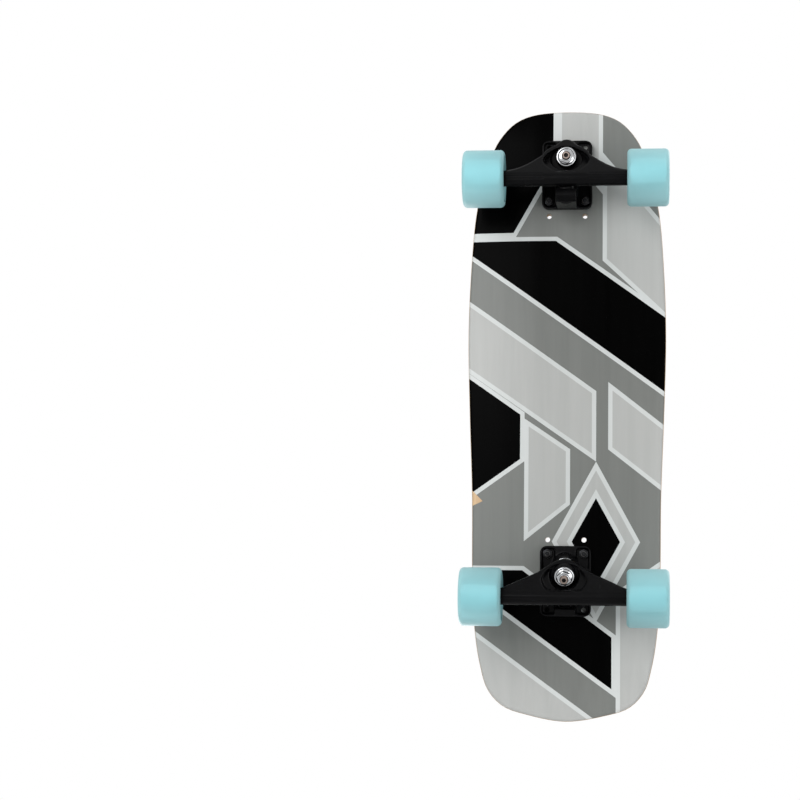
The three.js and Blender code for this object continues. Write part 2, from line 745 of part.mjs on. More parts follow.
function buildHanger(parent, truck, kingpin, pivot) {
  const ringTop = ringThickness / 2;
  const bossShape = oval(-truck.bowlSetback, truck.bossWide, truck.bossLong);
  const bowlShape = oval(-truck.bowlSetback, truck.bowlWide, truck.bowlLong);
  const depth = -truck.ringAbove - truck.apexReach;
  const boss = moved(prism(bossShape, depth, ringTop, bossSides / 2), kingpin.matrix)
    .intersect(aboveArms(truck));
  const bowl = prism(bowlShape, depth - overrun, -ringTop, bossSides / 2);
  const ringBore = rod(ringBoreRadius, -ringThickness, ringThickness, cupSides);
  const seatRadius = boardsideBushingRadius + pinGap;
  const seat = rod(seatRadius, ringTop - bushingSeatDepth, ringTop + overrun, washerSides);
  const swing = rod(boardsideWasherRadius + overrun / 2, ringTop, ringTop + 2 * boardsideBushingHeight,
    washerSides);
  const half = tubeRadius / 2;
  const gusset = crossPrism([
    [-half, half], [half, half], besidePivot(pivot, pivotStemReach, 0),
    besidePivot(pivot, pivotMouth + gussetClearance, 0),
    besidePivot(pivot, pivotMouth + gussetClearance, pivotStemRadius),
  ], gussetWidth);
  let hanger = hangerArms(truck).add(boss).add(gusset).add(moved(pivotStem(), pivot.matrix));
  [bowl, ringBore, seat, swing].forEach((cutter) => {
    hanger = hanger.subtract(moved(cutter, kingpin.matrix));
  });
  const across = new THREE.Matrix4().makeRotationY(Math.PI / 2);
  const tube = rod(tubeRadius, -tubeHalf, tubeHalf, sectionSides);
  const axleBore = rod(axleRadius + pinGap, -tubeHalf - overrun, tubeHalf + overrun, pinSides);
  hanger = hanger.add(moved(tube, across)).subtract(moved(axleBore, across));
  addPiece(parent, `${truck.name}_hanger`, hanger, finishes.blackMetal);
}

// Places along the axle, outwards from the middle of the board
const stackStart = tubeHalf + seatGap;
const innerBearingStart = stackStart + speedWasherThickness;
const spacerStart = innerBearingStart + bearingWidth;
const outerBearingStart = spacerStart + spacerLength;
const stackEnd = outerBearingStart + bearingWidth + speedWasherThickness;
const axleNutSeat = stackEnd + seatGap;
const axleEnd = axleNutSeat + axleNutHeight + axleNutCollarHeight + axleTipLength;
const coreMiddle = spacerStart + spacerLength / 2;
const wheelInnerFace = coreMiddle - coreShift - wheelWidth / 2;
const wheelOuterFace = wheelInnerFace + wheelWidth;

// The axle with what its nuts clamp on it: speed washers, inner races and bearing spacers
function buildAxle(parent, truck) {
  const half = [
    [axleRadius, stackStart], [innerRaceRadius, stackStart], [innerRaceRadius, spacerStart],
    [spacerRadius, spacerStart], [spacerRadius, outerBearingStart], [innerRaceRadius, outerBearingStart],
    [innerRaceRadius, stackEnd], [axleRadius, stackEnd], [axleRadius, axleEnd], [0, axleEnd],
  ];
  const mirrored = half.map(([radius, height]) => [radius, -height]).reverse();
  const axle = turned([...mirrored, ...half], pinSides);
  addPiece(parent, `${truck.name}_axle`, axle, finishes.steel).rotation.y = Math.PI / 2;
}

function tyreSolid() {
  const coreStart = coreMiddle - coreWidth / 2;
  const coreEnd = coreMiddle + coreWidth / 2;
  const bore = coreRadius + seatGap;
  const lip = (centre, from) => Array.from({ length: lipSteps + 1 }, (_, k) => {
    const angle = from + (Math.PI / 2) * (k / lipSteps);
    return [axleHeight - wheelLipRadius + wheelLipRadius * Math.cos(angle),
      centre + wheelLipRadius * Math.sin(angle)];
  });
  return turnedRing([
    [bore, coreStart], [wheelFaceRadius, wheelInnerFace + wheelFaceDrop],
    ...lip(wheelInnerFace + wheelLipRadius, -Math.PI / 2), ...lip(wheelOuterFace - wheelLipRadius, 0),
    [wheelFaceRadius, wheelOuterFace - wheelFaceDrop], [bore, coreEnd],
  ], wheelSides);
}

function coreSolid() {
  const coreStart = coreMiddle - coreWidth / 2;
  const coreEnd = coreMiddle + coreWidth / 2;
  const seat = bearingDiameter / 2 + pinGap;
  return turnedRing([
    [seat, coreStart], [coreRadius, coreStart], [coreRadius, coreEnd], [seat, coreEnd],
    [seat, outerBearingStart - seatGap], [coreShoulderRadius, outerBearingStart - seatGap],
    [coreShoulderRadius, spacerStart + seatGap], [seat, spacerStart + seatGap],
  ], bearingSides);
}

// Outer race with a sunk shield on its open side; the inner race is clamped on the axle
function bearingSolid() {
  const outer = bearingDiameter / 2;
  const inner = innerRaceRadius + pinGap;
  const lip = outer - bearingRingWall;
  return turnedRing([
    [inner, 0], [outer, 0], [outer, bearingWidth], [lip, bearingWidth],
    [lip, bearingWidth - bearingShieldInset], [inner, bearingWidth - bearingShieldInset],
  ], bearingSides);
}

function buildWheel(parent, name, side) {
  const wheel = new THREE.Group();
  wheel.rotation.y = side * Math.PI / 2;
  parent.add(wheel);
  addPiece(wheel, `${name}_tyre`, tyreSolid(), finishes.urethane);
  addPiece(wheel, `${name}_core`, coreSolid(), finishes.core);
  const inner = addPiece(wheel, `${name}_inner_bearing`, bearingSolid(), finishes.bearing);
  inner.position.z = spacerStart;
  inner.rotation.x = Math.PI;
  addPiece(wheel, `${name}_outer_bearing`, bearingSolid(), finishes.bearing).position.z = outerBearingStart;
  const nut = collarNut(axleNutWidth, axleNutHeight, axleNutCollarRadius, axleNutCollarHeight, axleRadius,
    pinSides);
  addPiece(wheel, `${name}_axle_nut`, nut, finishes.steel).position.z = axleNutSeat;
}

function buildTruck(board, truck) {
  const frame = new THREE.Group();
  frame.position.set(0, truck.boltCentre - truck.setback, axleHeight);
  board.add(frame);
  const kingpin = kingpinFrame(truck);
  const pivot = pivotFrame(truck);
  frame.add(kingpin, pivot);
  buildBaseplate(frame, truck, kingpin, pivot);
  buildPivotCup(pivot, truck);
  buildKingpinStack(kingpin, truck);
  buildHanger(frame, truck, kingpin, pivot);
  buildAxle(frame, truck);
  buildWheel(frame, `${truck.name}_left`, -1);
  buildWheel(frame, `${truck.name}_right`, 1);
}

const board = new THREE.Group();
board.name = "surf_skateboard";
buildDeck(board);
buildBolts(board);
trucks.forEach((truck) => buildTruck(board, truck));

export default board;
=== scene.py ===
"""Dresses the surf skateboard: pressed deck, grit, cast trucks, turned wheels and fasteners.

Every size is in metres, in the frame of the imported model: +Y towards the nose, +Z up, floor at Z = 0.
"""

from __future__ import annotations

import logging
import math
from collections.abc import Iterable, Sequence
from dataclasses import dataclass
from enum import Enum, IntEnum

import bmesh
import bpy
from mathutils import Matrix, Vector

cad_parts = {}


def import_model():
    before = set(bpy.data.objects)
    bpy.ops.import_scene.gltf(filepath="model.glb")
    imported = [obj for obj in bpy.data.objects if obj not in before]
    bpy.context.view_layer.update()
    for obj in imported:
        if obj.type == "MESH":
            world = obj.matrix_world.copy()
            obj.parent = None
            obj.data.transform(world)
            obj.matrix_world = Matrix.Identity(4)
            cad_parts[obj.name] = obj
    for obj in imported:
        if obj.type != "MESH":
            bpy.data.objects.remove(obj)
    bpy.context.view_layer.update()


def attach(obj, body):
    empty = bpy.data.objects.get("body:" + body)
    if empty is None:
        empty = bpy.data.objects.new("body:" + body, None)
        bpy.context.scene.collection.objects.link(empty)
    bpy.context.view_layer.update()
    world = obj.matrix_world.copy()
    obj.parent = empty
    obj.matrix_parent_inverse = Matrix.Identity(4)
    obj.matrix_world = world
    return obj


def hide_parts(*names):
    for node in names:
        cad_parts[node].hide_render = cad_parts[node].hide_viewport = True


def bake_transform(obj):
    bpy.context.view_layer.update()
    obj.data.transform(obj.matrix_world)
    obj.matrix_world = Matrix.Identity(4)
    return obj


log = logging.getLogger("surf_skateboard")

Colour = tuple[float, float, float]
Point3 = tuple[float, float, float]
Point2 = tuple[float, float]
Profile = Sequence[Point2]
Shape = bpy.types.Object
Socket = bpy.types.NodeSocket

FULL_TURN = 2 * math.pi
QUARTER = math.pi / 2
PLAY = 0.0003  # the room between pieces that touch
PAST = 0.005  # how far a cutter stands out of what it cuts
FAR_PAST = 0.01  # the same for the drills of a baseplate
LAP = 0.001  # how far two solids run into each other
AXLE_HEIGHT = 0.0325
AXLE_RADIUS = 0.004
TUBE_HALF = 0.0825
KINGPIN_RADIUS = 0.00475
COARSE_PITCH = 0.00106
THREAD_SIDES = 36
THREAD_ROWS = 6  # per turn of the thread
THREAD_DEPTH = 0.58  # in shares of the pitch
OVAL_STEPS = 72
ARM_SIDES = 40
TINY = 1e-9  # a length below this counts as none
ONE_POINT = 1e-6  # points that are nearer than this are merged
SNAP = 1e-7  # how near a point lies on a cut
PARALLEL = 1e-12  # lines whose cross product is below this don't meet
STEEL_EDGE = 28.0  # machined steel is shaded smooth up to this angle, in degrees
PRESSED_EDGE = 30.0  # the same for pressed and moulded pieces
TURNED_EDGE = 40.0  # the same for turned ones and the grit
CAST_EDGE = 50.0  # the same for castings and bushings


def srgb(red: float, green: float, blue: float) -> Colour:
    """Turns a colour of 0 to 255 per channel into Blender's linear colour."""
    return tuple(c / 255 / 12.92 if c <= 10 else ((c / 255 + 0.055) / 1.055) ** 2.4
                 for c in (red, green, blue))


def rgba(colour: Colour) -> tuple[float, float, float, float]:
    """Adds the full alpha that colour sockets expect."""
    return (*colour, 1.0)


def toned(colour: Colour, gain: float, lift: float = 0.0) -> Colour:
    """Makes a colour lighter or darker."""
    return tuple(min(1.0, c * gain + lift) for c in colour)


def lerp(a: float, b: float, share: float) -> float:
    """Blends two numbers."""
    return a + (b - a) * share


def turns(steps: int) -> list[float]:
    """Gives evenly spaced angles of one full turn."""
    return [FULL_TURN * k / steps for k in range(steps)]


# ---------------------------------------------------------------- shader graphs


class Graph:
    """A node tree with short calls that add nodes and feed their inputs."""

    def __init__(self, tree: bpy.types.NodeTree) -> None:
        """Keeps the tree that the calls work on."""
        self.tree = tree

    def feed(self, target: Socket, value: object) -> None:
        """Links a socket to an input, or sets the input to a plain colour or number.

        Args:
            target: the input.
            value: what it gets.
        """
        if isinstance(value, Socket):
            self.tree.links.new(value, target)
        else:
            target.default_value = rgba(value) if target.type == "RGBA" else value

    def add(self, kind: str, inputs: dict[str | int, object] | None = None,
            **settings: object) -> bpy.types.Node:
        """Adds a shader node.

        Args:
            kind: its type, without the usual first word.
            inputs: a socket or a plain value for each input.
            **settings: properties of the node itself.

        Returns:
            The node.
        """
        node = self.tree.nodes.new(f"ShaderNode{kind}")
        for name, value in settings.items():
            setattr(node, name, value)
        for name, value in (inputs or {}).items():
            self.feed(node.inputs[name], value)
        return node

    def math(self, operation: str, first: object, second: object = 0.0, clamp: bool = False) -> Socket:
        """Works on two numbers or sockets."""
        return self.add("Math", {0: first, 1: second}, operation=operation, use_clamp=clamp).outputs[0]

    def blend(self, share: Socket, low: object, high: object) -> Socket:
        """Mixes two colours by a share that varies over the surface."""
        return self.add("Mix", {"Factor": share, 6: low, 7: high}, data_type="RGBA").outputs[2]

    def ramp(self, value: Socket, span: Point2, to: Point2 = (0.0, 1.0), smooth: bool = False) -> Socket:
        """Maps one span of numbers onto another.

        Args:
            value: the number.
            span: where it starts and ends.
            to: what these become.
            smooth: whether it eases in and out.

        Returns:
            The new number.
        """
        inputs = zip(("Value", "From Min", "From Max", "To Min", "To Max"), (value, *span, *to))
        curve = "SMOOTHSTEP" if smooth else "LINEAR"
        return self.add("MapRange", dict(inputs), interpolation_type=curve).outputs[0]

    def noise(self, place: Socket, scale: Socket, look: Point3) -> Socket:
        """Adds cloudy noise, whose look is its detail, roughness and distortion."""
        inputs = zip(("Vector", "Scale", "Detail", "Roughness", "Distortion"), (place, scale, *look))
        return self.add("TexNoise", dict(inputs)).outputs["Fac"]


SOCKET_KINDS = {"Vector": "NodeSocketVector", "Light": "NodeSocketColor", "Dark": "NodeSocketColor",
                "Color": "NodeSocketColor"}


def group_tree(name: str, given: str, gives: str) -> tuple[Graph, Sequence[Socket], Sequence[Socket]]:
    """Starts a shader node group.

    Args:
        name: the group's name.
        given: the names of its inputs.
        gives: the names of its outputs.

    Returns:
        The graph, the sockets of what it is given, and those of what it gives.
    """
    tree = bpy.data.node_groups.new(name, "ShaderNodeTree")
    for way, sockets in (("INPUT", given), ("OUTPUT", gives)):
        for socket in sockets.split():
            kind = SOCKET_KINDS.get(socket, "NodeSocketFloat")
            tree.interface.new_socket(socket, in_out=way, socket_type=kind)
    return Graph(tree), tree.nodes.new("NodeGroupInput").outputs, tree.nodes.new("NodeGroupOutput").inputs


@dataclass
class Effects:
    """The shared surface effects, each a node group that is built once and found by its name."""

    grain_draw: Point3 = (1.0, 0.045, 1.0)
    band_look: Point3 = (5.0, 0.62, 0.35)
    band_span: Point2 = (0.32, 0.7)
    pore_look: Point3 = (2.0, 0.5, 0.0)
    pore_scale: float = 7.0
    pore_span: Point2 = (0.56, 0.72)
    pore_share: float = 0.5
    smear_look: Point3 = (4.0, 0.55, 0.6)
    relief_look: Point3 = (3.0, 0.6, 0.0)

    def wood_grain(self) -> None:
        """Makes long streaks and pores of veneer that run along Y."""
        graph, given, gives = group_tree("wood_grain", "Vector Scale Light Dark", "Color Height")
        draw = graph.add("VectorMath", {0: given["Vector"], 1: self.grain_draw}, operation="MULTIPLY")
        drawn, fine = draw.outputs[0], graph.math("MULTIPLY", given["Scale"], self.pore_scale)
        bands = graph.noise(drawn, given["Scale"], self.band_look)
        pores = graph.noise(drawn, fine, self.pore_look)
        share = graph.math("MAXIMUM", graph.ramp(bands, self.band_span),
                           graph.ramp(pores, self.pore_span, (0.0, self.pore_share)), clamp=True)
        graph.feed(gives["Color"], graph.blend(share, given["Light"], given["Dark"]))
        graph.feed(gives["Height"], graph.math("SUBTRACT", 1.0, share))

    def speckle(self) -> None:
        """Makes grit: cells that each have a random value, and the relief between them."""
        graph, given, gives = group_tree("speckle", "Vector Scale", "Value Height")
        inputs = {"Vector": given["Vector"], "Scale": given["Scale"], "Randomness": 1.0}
        cells = graph.add("TexVoronoi", inputs)
        parts = graph.add("SeparateColor", {"Color": cells.outputs["Color"]})
        graph.feed(gives["Value"], parts.outputs["Red"])
        graph.feed(gives["Height"], graph.math("SUBTRACT", 1.0, cells.outputs["Distance"]))

    def handling(self) -> None:
        """Varies a roughness by soft smears, as on a surface that hands have touched."""
        graph, given, gives = group_tree("handling", "Vector Scale Roughness Spread", "Roughness Mask")
        smears = graph.noise(given["Vector"], given["Scale"], self.smear_look)
        change = graph.math("MULTIPLY", graph.math("SUBTRACT", smears, 0.5), given["Spread"])
        graph.feed(gives["Roughness"], graph.math("ADD", given["Roughness"], change, clamp=True))
        graph.feed(gives["Mask"], smears)

    def relief(self) -> None:
        """Makes the fine orange peel of a coated casting or of poured plastic."""
        graph, given, gives = group_tree("relief", "Vector Scale", "Height")
        graph.feed(gives["Height"], graph.noise(given["Vector"], given["Scale"], self.relief_look))

    def build(self) -> None:
        """Builds the groups."""
        for make in (self.wood_grain, self.speckle, self.handling, self.relief):
            make()


# ---------------------------------------------------------------- finishes


@dataclass
class Surface:
    """A material in the making."""

    graph: Graph
    shader: bpy.types.Node
    place: Socket

    def feed(self, name: str, value: object) -> None:
        """Feeds one of the shader's inputs."""
        self.graph.feed(self.shader.inputs[name], value)

    def effect(self, name: str, **inputs: object) -> Sequence[Socket]:
        """Places a shared effect and gives its outputs."""
        tree = bpy.data.node_groups[name]
        return self.graph.add("Group", {"Vector": self.place, **inputs}, node_tree=tree).outputs


@dataclass(frozen=True)
class Finish:
    """What every finish shares: a name, plain gloss values, smears and fine relief."""

    name: str
    colour: Colour
    roughness: float = 0.5
    metallic: float = 0.0
    specular: float = 0.5
    coat: float = 0.0
    coat_roughness: float = 0.1
    smear_scale: float = 9.0
    smear_spread: float = 0.16
    relief_scale: float = 700.0
    relief_depth: float = 0.00006
    relief_share: float = 0.5

    def material(self) -> bpy.types.Material:
        """Gives the finish's material, made on first use.

        Returns:
            The material.
        """
        if self.name in bpy.data.materials:
            return bpy.data.materials[self.name]
        made = bpy.data.materials.new(self.name)
        made.use_nodes = True
        made.diffuse_color = rgba(self.colour)
        graph = Graph(made.node_tree)
        on = Surface(graph, made.node_tree.nodes["Principled BSDF"], graph.add("TexCoord").outputs["Object"])
        for name, value in (("Base Color", self.colour), ("Roughness", self.roughness),
                            ("Metallic", self.metallic), ("Specular IOR Level", self.specular),
                            ("Coat Weight", self.coat), ("Coat Roughness", self.coat_roughness)):
            on.feed(name, value)
        self.paint(on)
        return made

    def paint(self, on: Surface) -> None:
        """Adds what varies over the surface; each kind of finish has its own way."""
        raise NotImplementedError

    def tones(self) -> tuple[Colour, Colour]:
        """Gives the two tones between which the surface varies."""
        raise NotImplementedError

    def smear(self, on: Surface) -> Socket:
        """Varies the roughness by smears.

        Args:
            on: the material in the making.

        Returns:
            The smears' mask.
        """
        smears = on.effect("handling", Scale=self.smear_scale, Roughness=self.roughness,
                           Spread=self.smear_spread)
        on.feed("Roughness", smears["Roughness"])
        return smears["Mask"]

    def emboss(self, on: Surface, height: Socket) -> None:
        """Turns a height of 0 to 1 into relief."""
        inputs = {"Strength": self.relief_share, "Distance": self.relief_depth, "Height": height}
        on.feed("Normal", on.graph.add("Bump", inputs).outputs["Normal"])


@dataclass(frozen=True)
class Grained(Finish):
    """A finish that shows the veneer's grain along the board."""

    grain_scale: float = 60.0

    def paint(self, on: Surface) -> None:
        """Adds grain colour, smears and relief."""
        light, dark = self.tones()
        grain = on.effect("wood_grain", Scale=self.grain_scale, Light=light, Dark=dark)
        on.feed("Base Color", grain["Color"])
        self.smear(on)
        self.emboss(on, grain["Height"])


@dataclass(frozen=True)
class Ink(Grained):
    """Printed ink over veneer, under a clear coat: the grain telegraphs through."""

    smear_scale: float = 6.0
    smear_spread: float = 0.12
    relief_depth: float = 0.00004
    grain_scale: float = 90.0
    grain_tint: float = 0.1
    grain_lift: float = 0.0006

    def tones(self) -> tuple[Colour, Colour]:
        """Gives the print's tiny tone changes."""
        return (toned(self.colour, 1 + self.grain_tint, self.grain_lift),
                toned(self.colour, 1 - self.grain_tint))


@dataclass(frozen=True)
class Veneer(Grained):
    """Bare or stained wood veneer."""

    smear_spread: float = 0.2
    relief_depth: float = 0.00012
    relief_share: float = 0.7
    dark: Colour = (0.3, 0.2, 0.1)

    def tones(self) -> tuple[Colour, Colour]:
        """Gives the wood's tones."""
        return self.colour, self.dark


@dataclass(frozen=True)
class Plies(Finish):
    """The laminate's edge: veneers of two tones with thin glue lines, read from the height in the sheet."""

    relief_depth: float = 0.00008
    dark: Colour = (0.3, 0.2, 0.1)
    glue: Colour = (0.1, 0.06, 0.03)
    thickness: float = 0.0115
    count: int = 7
    grain_scale: float = 160.0
    end_grain_scale: float = 1500.0
    end_grain_share: float = 0.35
    glue_width: float = 0.07
    glue_share: float = 0.65

    def paint(self, on: Surface) -> None:
        """Draws the plies from the sheet_height attribute and adds sanded grain."""
        graph = on.graph
        height = graph.add("Attribute", attribute_name="sheet_height").outputs["Fac"]
        ply = graph.math("MULTIPLY", height, self.count / self.thickness)
        whole = graph.math("FLOOR", ply)
        inside = graph.math("SUBTRACT", ply, whole)
        odd = graph.math("MODULO", whole, 2.0, clamp=True)
        grain = on.effect("wood_grain", Scale=self.grain_scale, Light=self.colour, Dark=self.dark)
        cross = graph.math("MULTIPLY", on.effect("speckle", Scale=self.end_grain_scale)["Value"],
                           self.end_grain_share)
        wood = graph.blend(odd, grain["Color"], graph.blend(cross, self.colour, self.dark))
        near = graph.math("MINIMUM", inside, graph.math("SUBTRACT", 1.0, inside))
        line = graph.math("MULTIPLY", graph.math("LESS_THAN", near, self.glue_width), self.glue_share)
        on.feed("Base Color", graph.blend(line, wood, self.glue))
        self.emboss(on, grain["Height"])


@dataclass(frozen=True)
class Grit(Finish):
    """Mineral grip: dark grains of mixed tone, a few of which glint."""

    relief_depth: float = 0.00035
    relief_share: float = 1.0
    pale: Colour = (0.2, 0.2, 0.2)
    grain_scale: float = 1300.0
    tone_span: Point2 = (0.35, 1.0)
    tone_power: float = 2.2
    glint_from: float = 0.93
    glint_gloss: float = 0.5

    def paint(self, on: Surface) -> None:
        """Adds grains, glints and a coarse relief."""
        graph, grains = on.graph, on.effect("speckle", Scale=self.grain_scale)
        tone = graph.math("POWER", graph.ramp(grains["Value"], self.tone_span), self.tone_power)
        on.feed("Base Color", graph.blend(tone, self.colour, self.pale))
        glint = graph.math("GREATER_THAN", grains["Value"], self.glint_from)
        gloss = graph.math("MULTIPLY", glint, self.glint_gloss)
        on.feed("Roughness", graph.math("SUBTRACT", self.roughness, gloss))
        self.emboss(on, grains["Height"])


@dataclass(frozen=True)
class Skin(Finish):
    """A finely pebbled surface whose tone drifts with its smears."""

    def paint(self, on: Surface) -> None:
        """Adds the drifting tone, the smears, the pebbled relief and, on metal, the painted shade."""
        on.feed("Base Color", self.shade(on, on.graph.blend(self.smear(on), *self.tones())))
        self.emboss(on, on.effect("relief", Scale=self.relief_scale)["Height"])

    def shade(self, on: Surface, colour: Socket) -> Socket:
        """Gives the colour as it is, without painted shade; metal paints shade on its slanted faces."""
        return colour


@dataclass(frozen=True)
class Cast(Skin):
    """A coated casting: satin, faintly pebbled, with smears."""

    smear_scale: float = 35.0
    relief_scale: float = 900.0
    relief_depth: float = 0.00007
    wear_gain: float = 1.6
    wear_lift: float = 0.0015

    def tones(self) -> tuple[Colour, Colour]:
        """Gives the coat and its worn tone."""
        return self.colour, toned(self.colour, self.wear_gain, self.wear_lift)


@dataclass(frozen=True)
class Poured(Skin):
    """Poured urethane or moulded plastic: even colour with cloudy depth and a fine ground skin."""

    smear_scale: float = 28.0
    relief_share: float = 0.4
    cloud: float = 0.05

    def tones(self) -> tuple[Colour, Colour]:
        """Gives the cloud's tones."""
        return toned(self.colour, 1 - self.cloud), toned(self.colour, 1 + self.cloud)


@dataclass(frozen=True)
class Metal(Skin):
    """Plated or turned steel with fine tool marks, smears and painted shade on the faces that slant away from
    the view.
    """

    smear_scale: float = 160.0
    relief_scale: float = 2600.0
    relief_depth: float = 0.00003
    dull: float = 0.8
    # painted shade: faces that slant away from the view blend towards the colour times this gain, standing in
    # for dark reflections
    painted_shade_gain: float = 0.12
    painted_shade_span: Point2 = (0.03, 0.42)

    def tones(self) -> tuple[Colour, Colour]:
        """Gives the plating and its dull tone."""
        return self.colour, toned(self.colour, self.dull)

    def shade(self, on: Surface, colour: Socket) -> Socket:
        """Paints shade on the faces that slant away from the view, a painted dark reflection."""
        facing = on.graph.add("LayerWeight", {"Blend": 0.5}).outputs["Facing"]
        painted_shade_mask = on.graph.ramp(facing, self.painted_shade_span, smooth=True)
        return on.graph.blend(painted_shade_mask, colour, toned(self.colour, self.painted_shade_gain))


MAPLE = Veneer("bare_maple", srgb(214, 184, 146), 0.42, specular=0.3, coat=0.3, dark=srgb(186, 150, 110))
PLIES = Plies("maple_plies", srgb(192, 164, 128), 0.6, specular=0.2, dark=srgb(142, 112, 80),
              glue=srgb(84, 62, 44))
STAINED = Veneer("stained_veneer", srgb(126, 113, 101), 0.5, specular=0.3, dark=srgb(74, 64, 57),
                 grain_scale=75.0)
BROWN_EDGE = Veneer("brown_edge", srgb(142, 116, 92), 0.5, specular=0.3, dark=srgb(96, 74, 56))
INK_BLACK = Ink("ink_black", srgb(1, 1, 1), 0.26, specular=0.012)
INK_GREY = Ink("ink_mid_grey", srgb(117, 119, 116), 0.34, specular=0.25, grain_tint=0.05)
INK_LIGHT = Ink("ink_light_grey", srgb(177, 178, 176), 0.34, specular=0.25, grain_tint=0.04)
INK_KEY = Ink("ink_keyline", srgb(205, 208, 207), 0.34, specular=0.25, grain_tint=0.02)
INK_SILVER = Ink("ink_silver", srgb(205, 207, 208), 0.4, specular=0.35, grain_tint=0.03, grain_scale=120.0)
GRIT = Grit("mineral_grit", srgb(23, 23, 25), 0.9, specular=0.2, pale=srgb(92, 93, 98))
CAST_BLACK = Cast("satin_black_casting", srgb(6, 6, 7), 0.25, specular=0.06)
URETHANE = Poured("teal_urethane", srgb(158, 204, 209), 0.46, specular=0.25)
HUB = Poured("hub_plastic", srgb(232, 238, 238), 0.4, specular=0.45)
BUSHING = Poured("black_bushing", srgb(9, 9, 10), 0.42, specular=0.08)
CUP = Poured("black_pivot_cup", srgb(18, 18, 19), 0.55, specular=0.2)
BRIGHT_STEEL = Metal("bright_zinc", srgb(182, 184, 186), 0.13, 1.0)
WARM_STEEL = Metal("kingpin_steel", srgb(152, 138, 130), 0.2, 1.0)
BLACK_STEEL = Metal("black_oxide", srgb(30, 31, 33), 0.34, 0.85)
# painted shade: the dark walls of the kingpin's socket stand for the shade inside the hole
SOCKET_PAINTED_SHADE = Metal("socket_painted_shade", srgb(26, 22, 19), 0.5, 0.6)
RACE_STEEL = Metal("polished_race", srgb(200, 203, 208), 0.16, 1.0)
SHIELD = Metal("pressed_shield", srgb(150, 153, 158), 0.34, 1.0)
NYLON = Poured("nylon_insert", srgb(84, 82, 82), 0.5, specular=0.3)


# ---------------------------------------------------------------- mesh work


def linked(name: str, data: bpy.types.ID) -> Shape:
    """Makes an object of a mesh, a lamp or a camera and adds it to the scene.

    Args:
        name: its name.
        data: its data.

    Returns:
        The object.
    """
    made = bpy.data.objects.new(name, data)
    bpy.context.scene.collection.objects.link(made)
    return made


def to_object(name: str, mesh: bmesh.types.BMesh, face_out: bool = True) -> Shape:
    """Turns a bmesh into an object at the origin and frees it.

    Args:
        name: the object's name.
        mesh: the bmesh.
        face_out: whether its faces are turned outwards.

    Returns:
        The object.
    """
    if face_out:
        bmesh.ops.recalc_face_normals(mesh, faces=mesh.faces)
    data = bpy.data.meshes.new(name)
    mesh.to_mesh(data)
    mesh.free()
    return linked(name, data)


def discard(piece: Shape) -> None:
    """Deletes a piece and its mesh."""
    data = piece.data
    bpy.data.objects.remove(piece)
    bpy.data.meshes.remove(data)


def soften(piece: Shape, angle: float = 35.0) -> Shape:
    """Shades a piece smooth up to an angle in degrees."""
    piece.data.shade_smooth()
    piece.data.set_sharp_from_angle(angle=math.radians(angle))
    return piece


def dress(piece: Shape, *finishes: Finish) -> Shape:
    """Gives a piece its material slots, in the order of its face indices."""
    if len(piece.data.materials):
        piece.data.materials.clear()
    for finish in finishes:
        piece.data.materials.append(finish.material())
    return piece


def skin(mesh: bmesh.types.BMesh, loops: Sequence[Sequence[bmesh.types.BMVert]],
         kinds: Sequence[int] | None = None) -> None:
    """Joins neighbouring closed loops by faces.

    Args:
        mesh: the bmesh.
        loops: loops of equal length; a point may fill a loop.
        kinds: the face index of each band between two loops.
    """
    for band, (low, high) in enumerate(zip(loops, loops[1:])):
        for j in range(len(low)):
            k = (j + 1) % len(low)
            ring = tuple(dict.fromkeys((low[j], low[k], high[k], high[j])))
            if len(ring) > 2:
                mesh.faces.new(ring).material_index = kinds[band] if kinds else 0


def loft(name: str, rows: Sequence[Sequence[Vector]]) -> Shape:
    """Skins closed loops of equal length and caps both ends.

    Args:
        name: the object's name.
        rows: the loops of points.

    Returns:
        The object.
    """
    mesh = bmesh.new()
    loops = [[mesh.verts.new(point) for point in row] for row in rows]
    skin(mesh, loops)
    for end in (loops[0], loops[-1]):
        mesh.faces.new(end)
    return to_object(name, mesh)


def lathe(name: str, profile: Profile, sides: int = 64, closed: bool = False) -> Shape:
    """Turns [radius, height] points about Z.

    Args:
        name: the object's name.
        profile: the points; they start and end on the axis unless closed.
        sides: steps round the axis.
        closed: whether the last point joins the first.

    Returns:
        The object.
    """
    mesh = bmesh.new()
    loops = []
    for radius, height in profile:
        if radius < TINY:
            loops.append([mesh.verts.new((0, 0, height))] * sides)
        else:
            loops.append([mesh.verts.new((radius * math.cos(a), radius * math.sin(a), height))
                          for a in turns(sides)])
    skin(mesh, loops + loops[:1] if closed else loops)
    return to_object(name, mesh)


def cylinder(name: str, radius: float, low: float, high: float, sides: int) -> Shape:
    """Turns a plain rod or drill about Z."""
    return lathe(name, [(0, low), (radius, low), (radius, high), (0, high)], sides)


def prism(name: str, outline: Profile, low: float, high: float) -> Shape:
    """Raises a plan outline between two heights."""
    return loft(name, [[Vector((x, y, z)) for x, y in outline] for z in (low, high)])


def side_prism(name: str, outline: Profile, width: float) -> Shape:
    """Draws a [y, z] outline out along X, centred."""
    return loft(name, [[Vector((x, y, z)) for y, z in outline] for x in (-width / 2, width / 2)])


def oval(half_x: float, half_y: float, centre_y: float, sharpness: float = 1.0) -> list[Point2]:
    """Gives an ellipse's points; a sharpness above 1 draws its ends along X to soft points."""
    spots = [(math.cos(a), math.sin(a)) for a in turns(OVAL_STEPS)]
    return [(half_x * x, centre_y + half_y * math.copysign(abs(y) ** sharpness, y)) for x, y in spots]


def hexagon(across_flats: float) -> list[Point2]:
    """Gives a hexagon's corners."""
    radius = across_flats / math.sqrt(3)
    return [(radius * math.cos(k * math.pi / 3), radius * math.sin(k * math.pi / 3)) for k in range(6)]


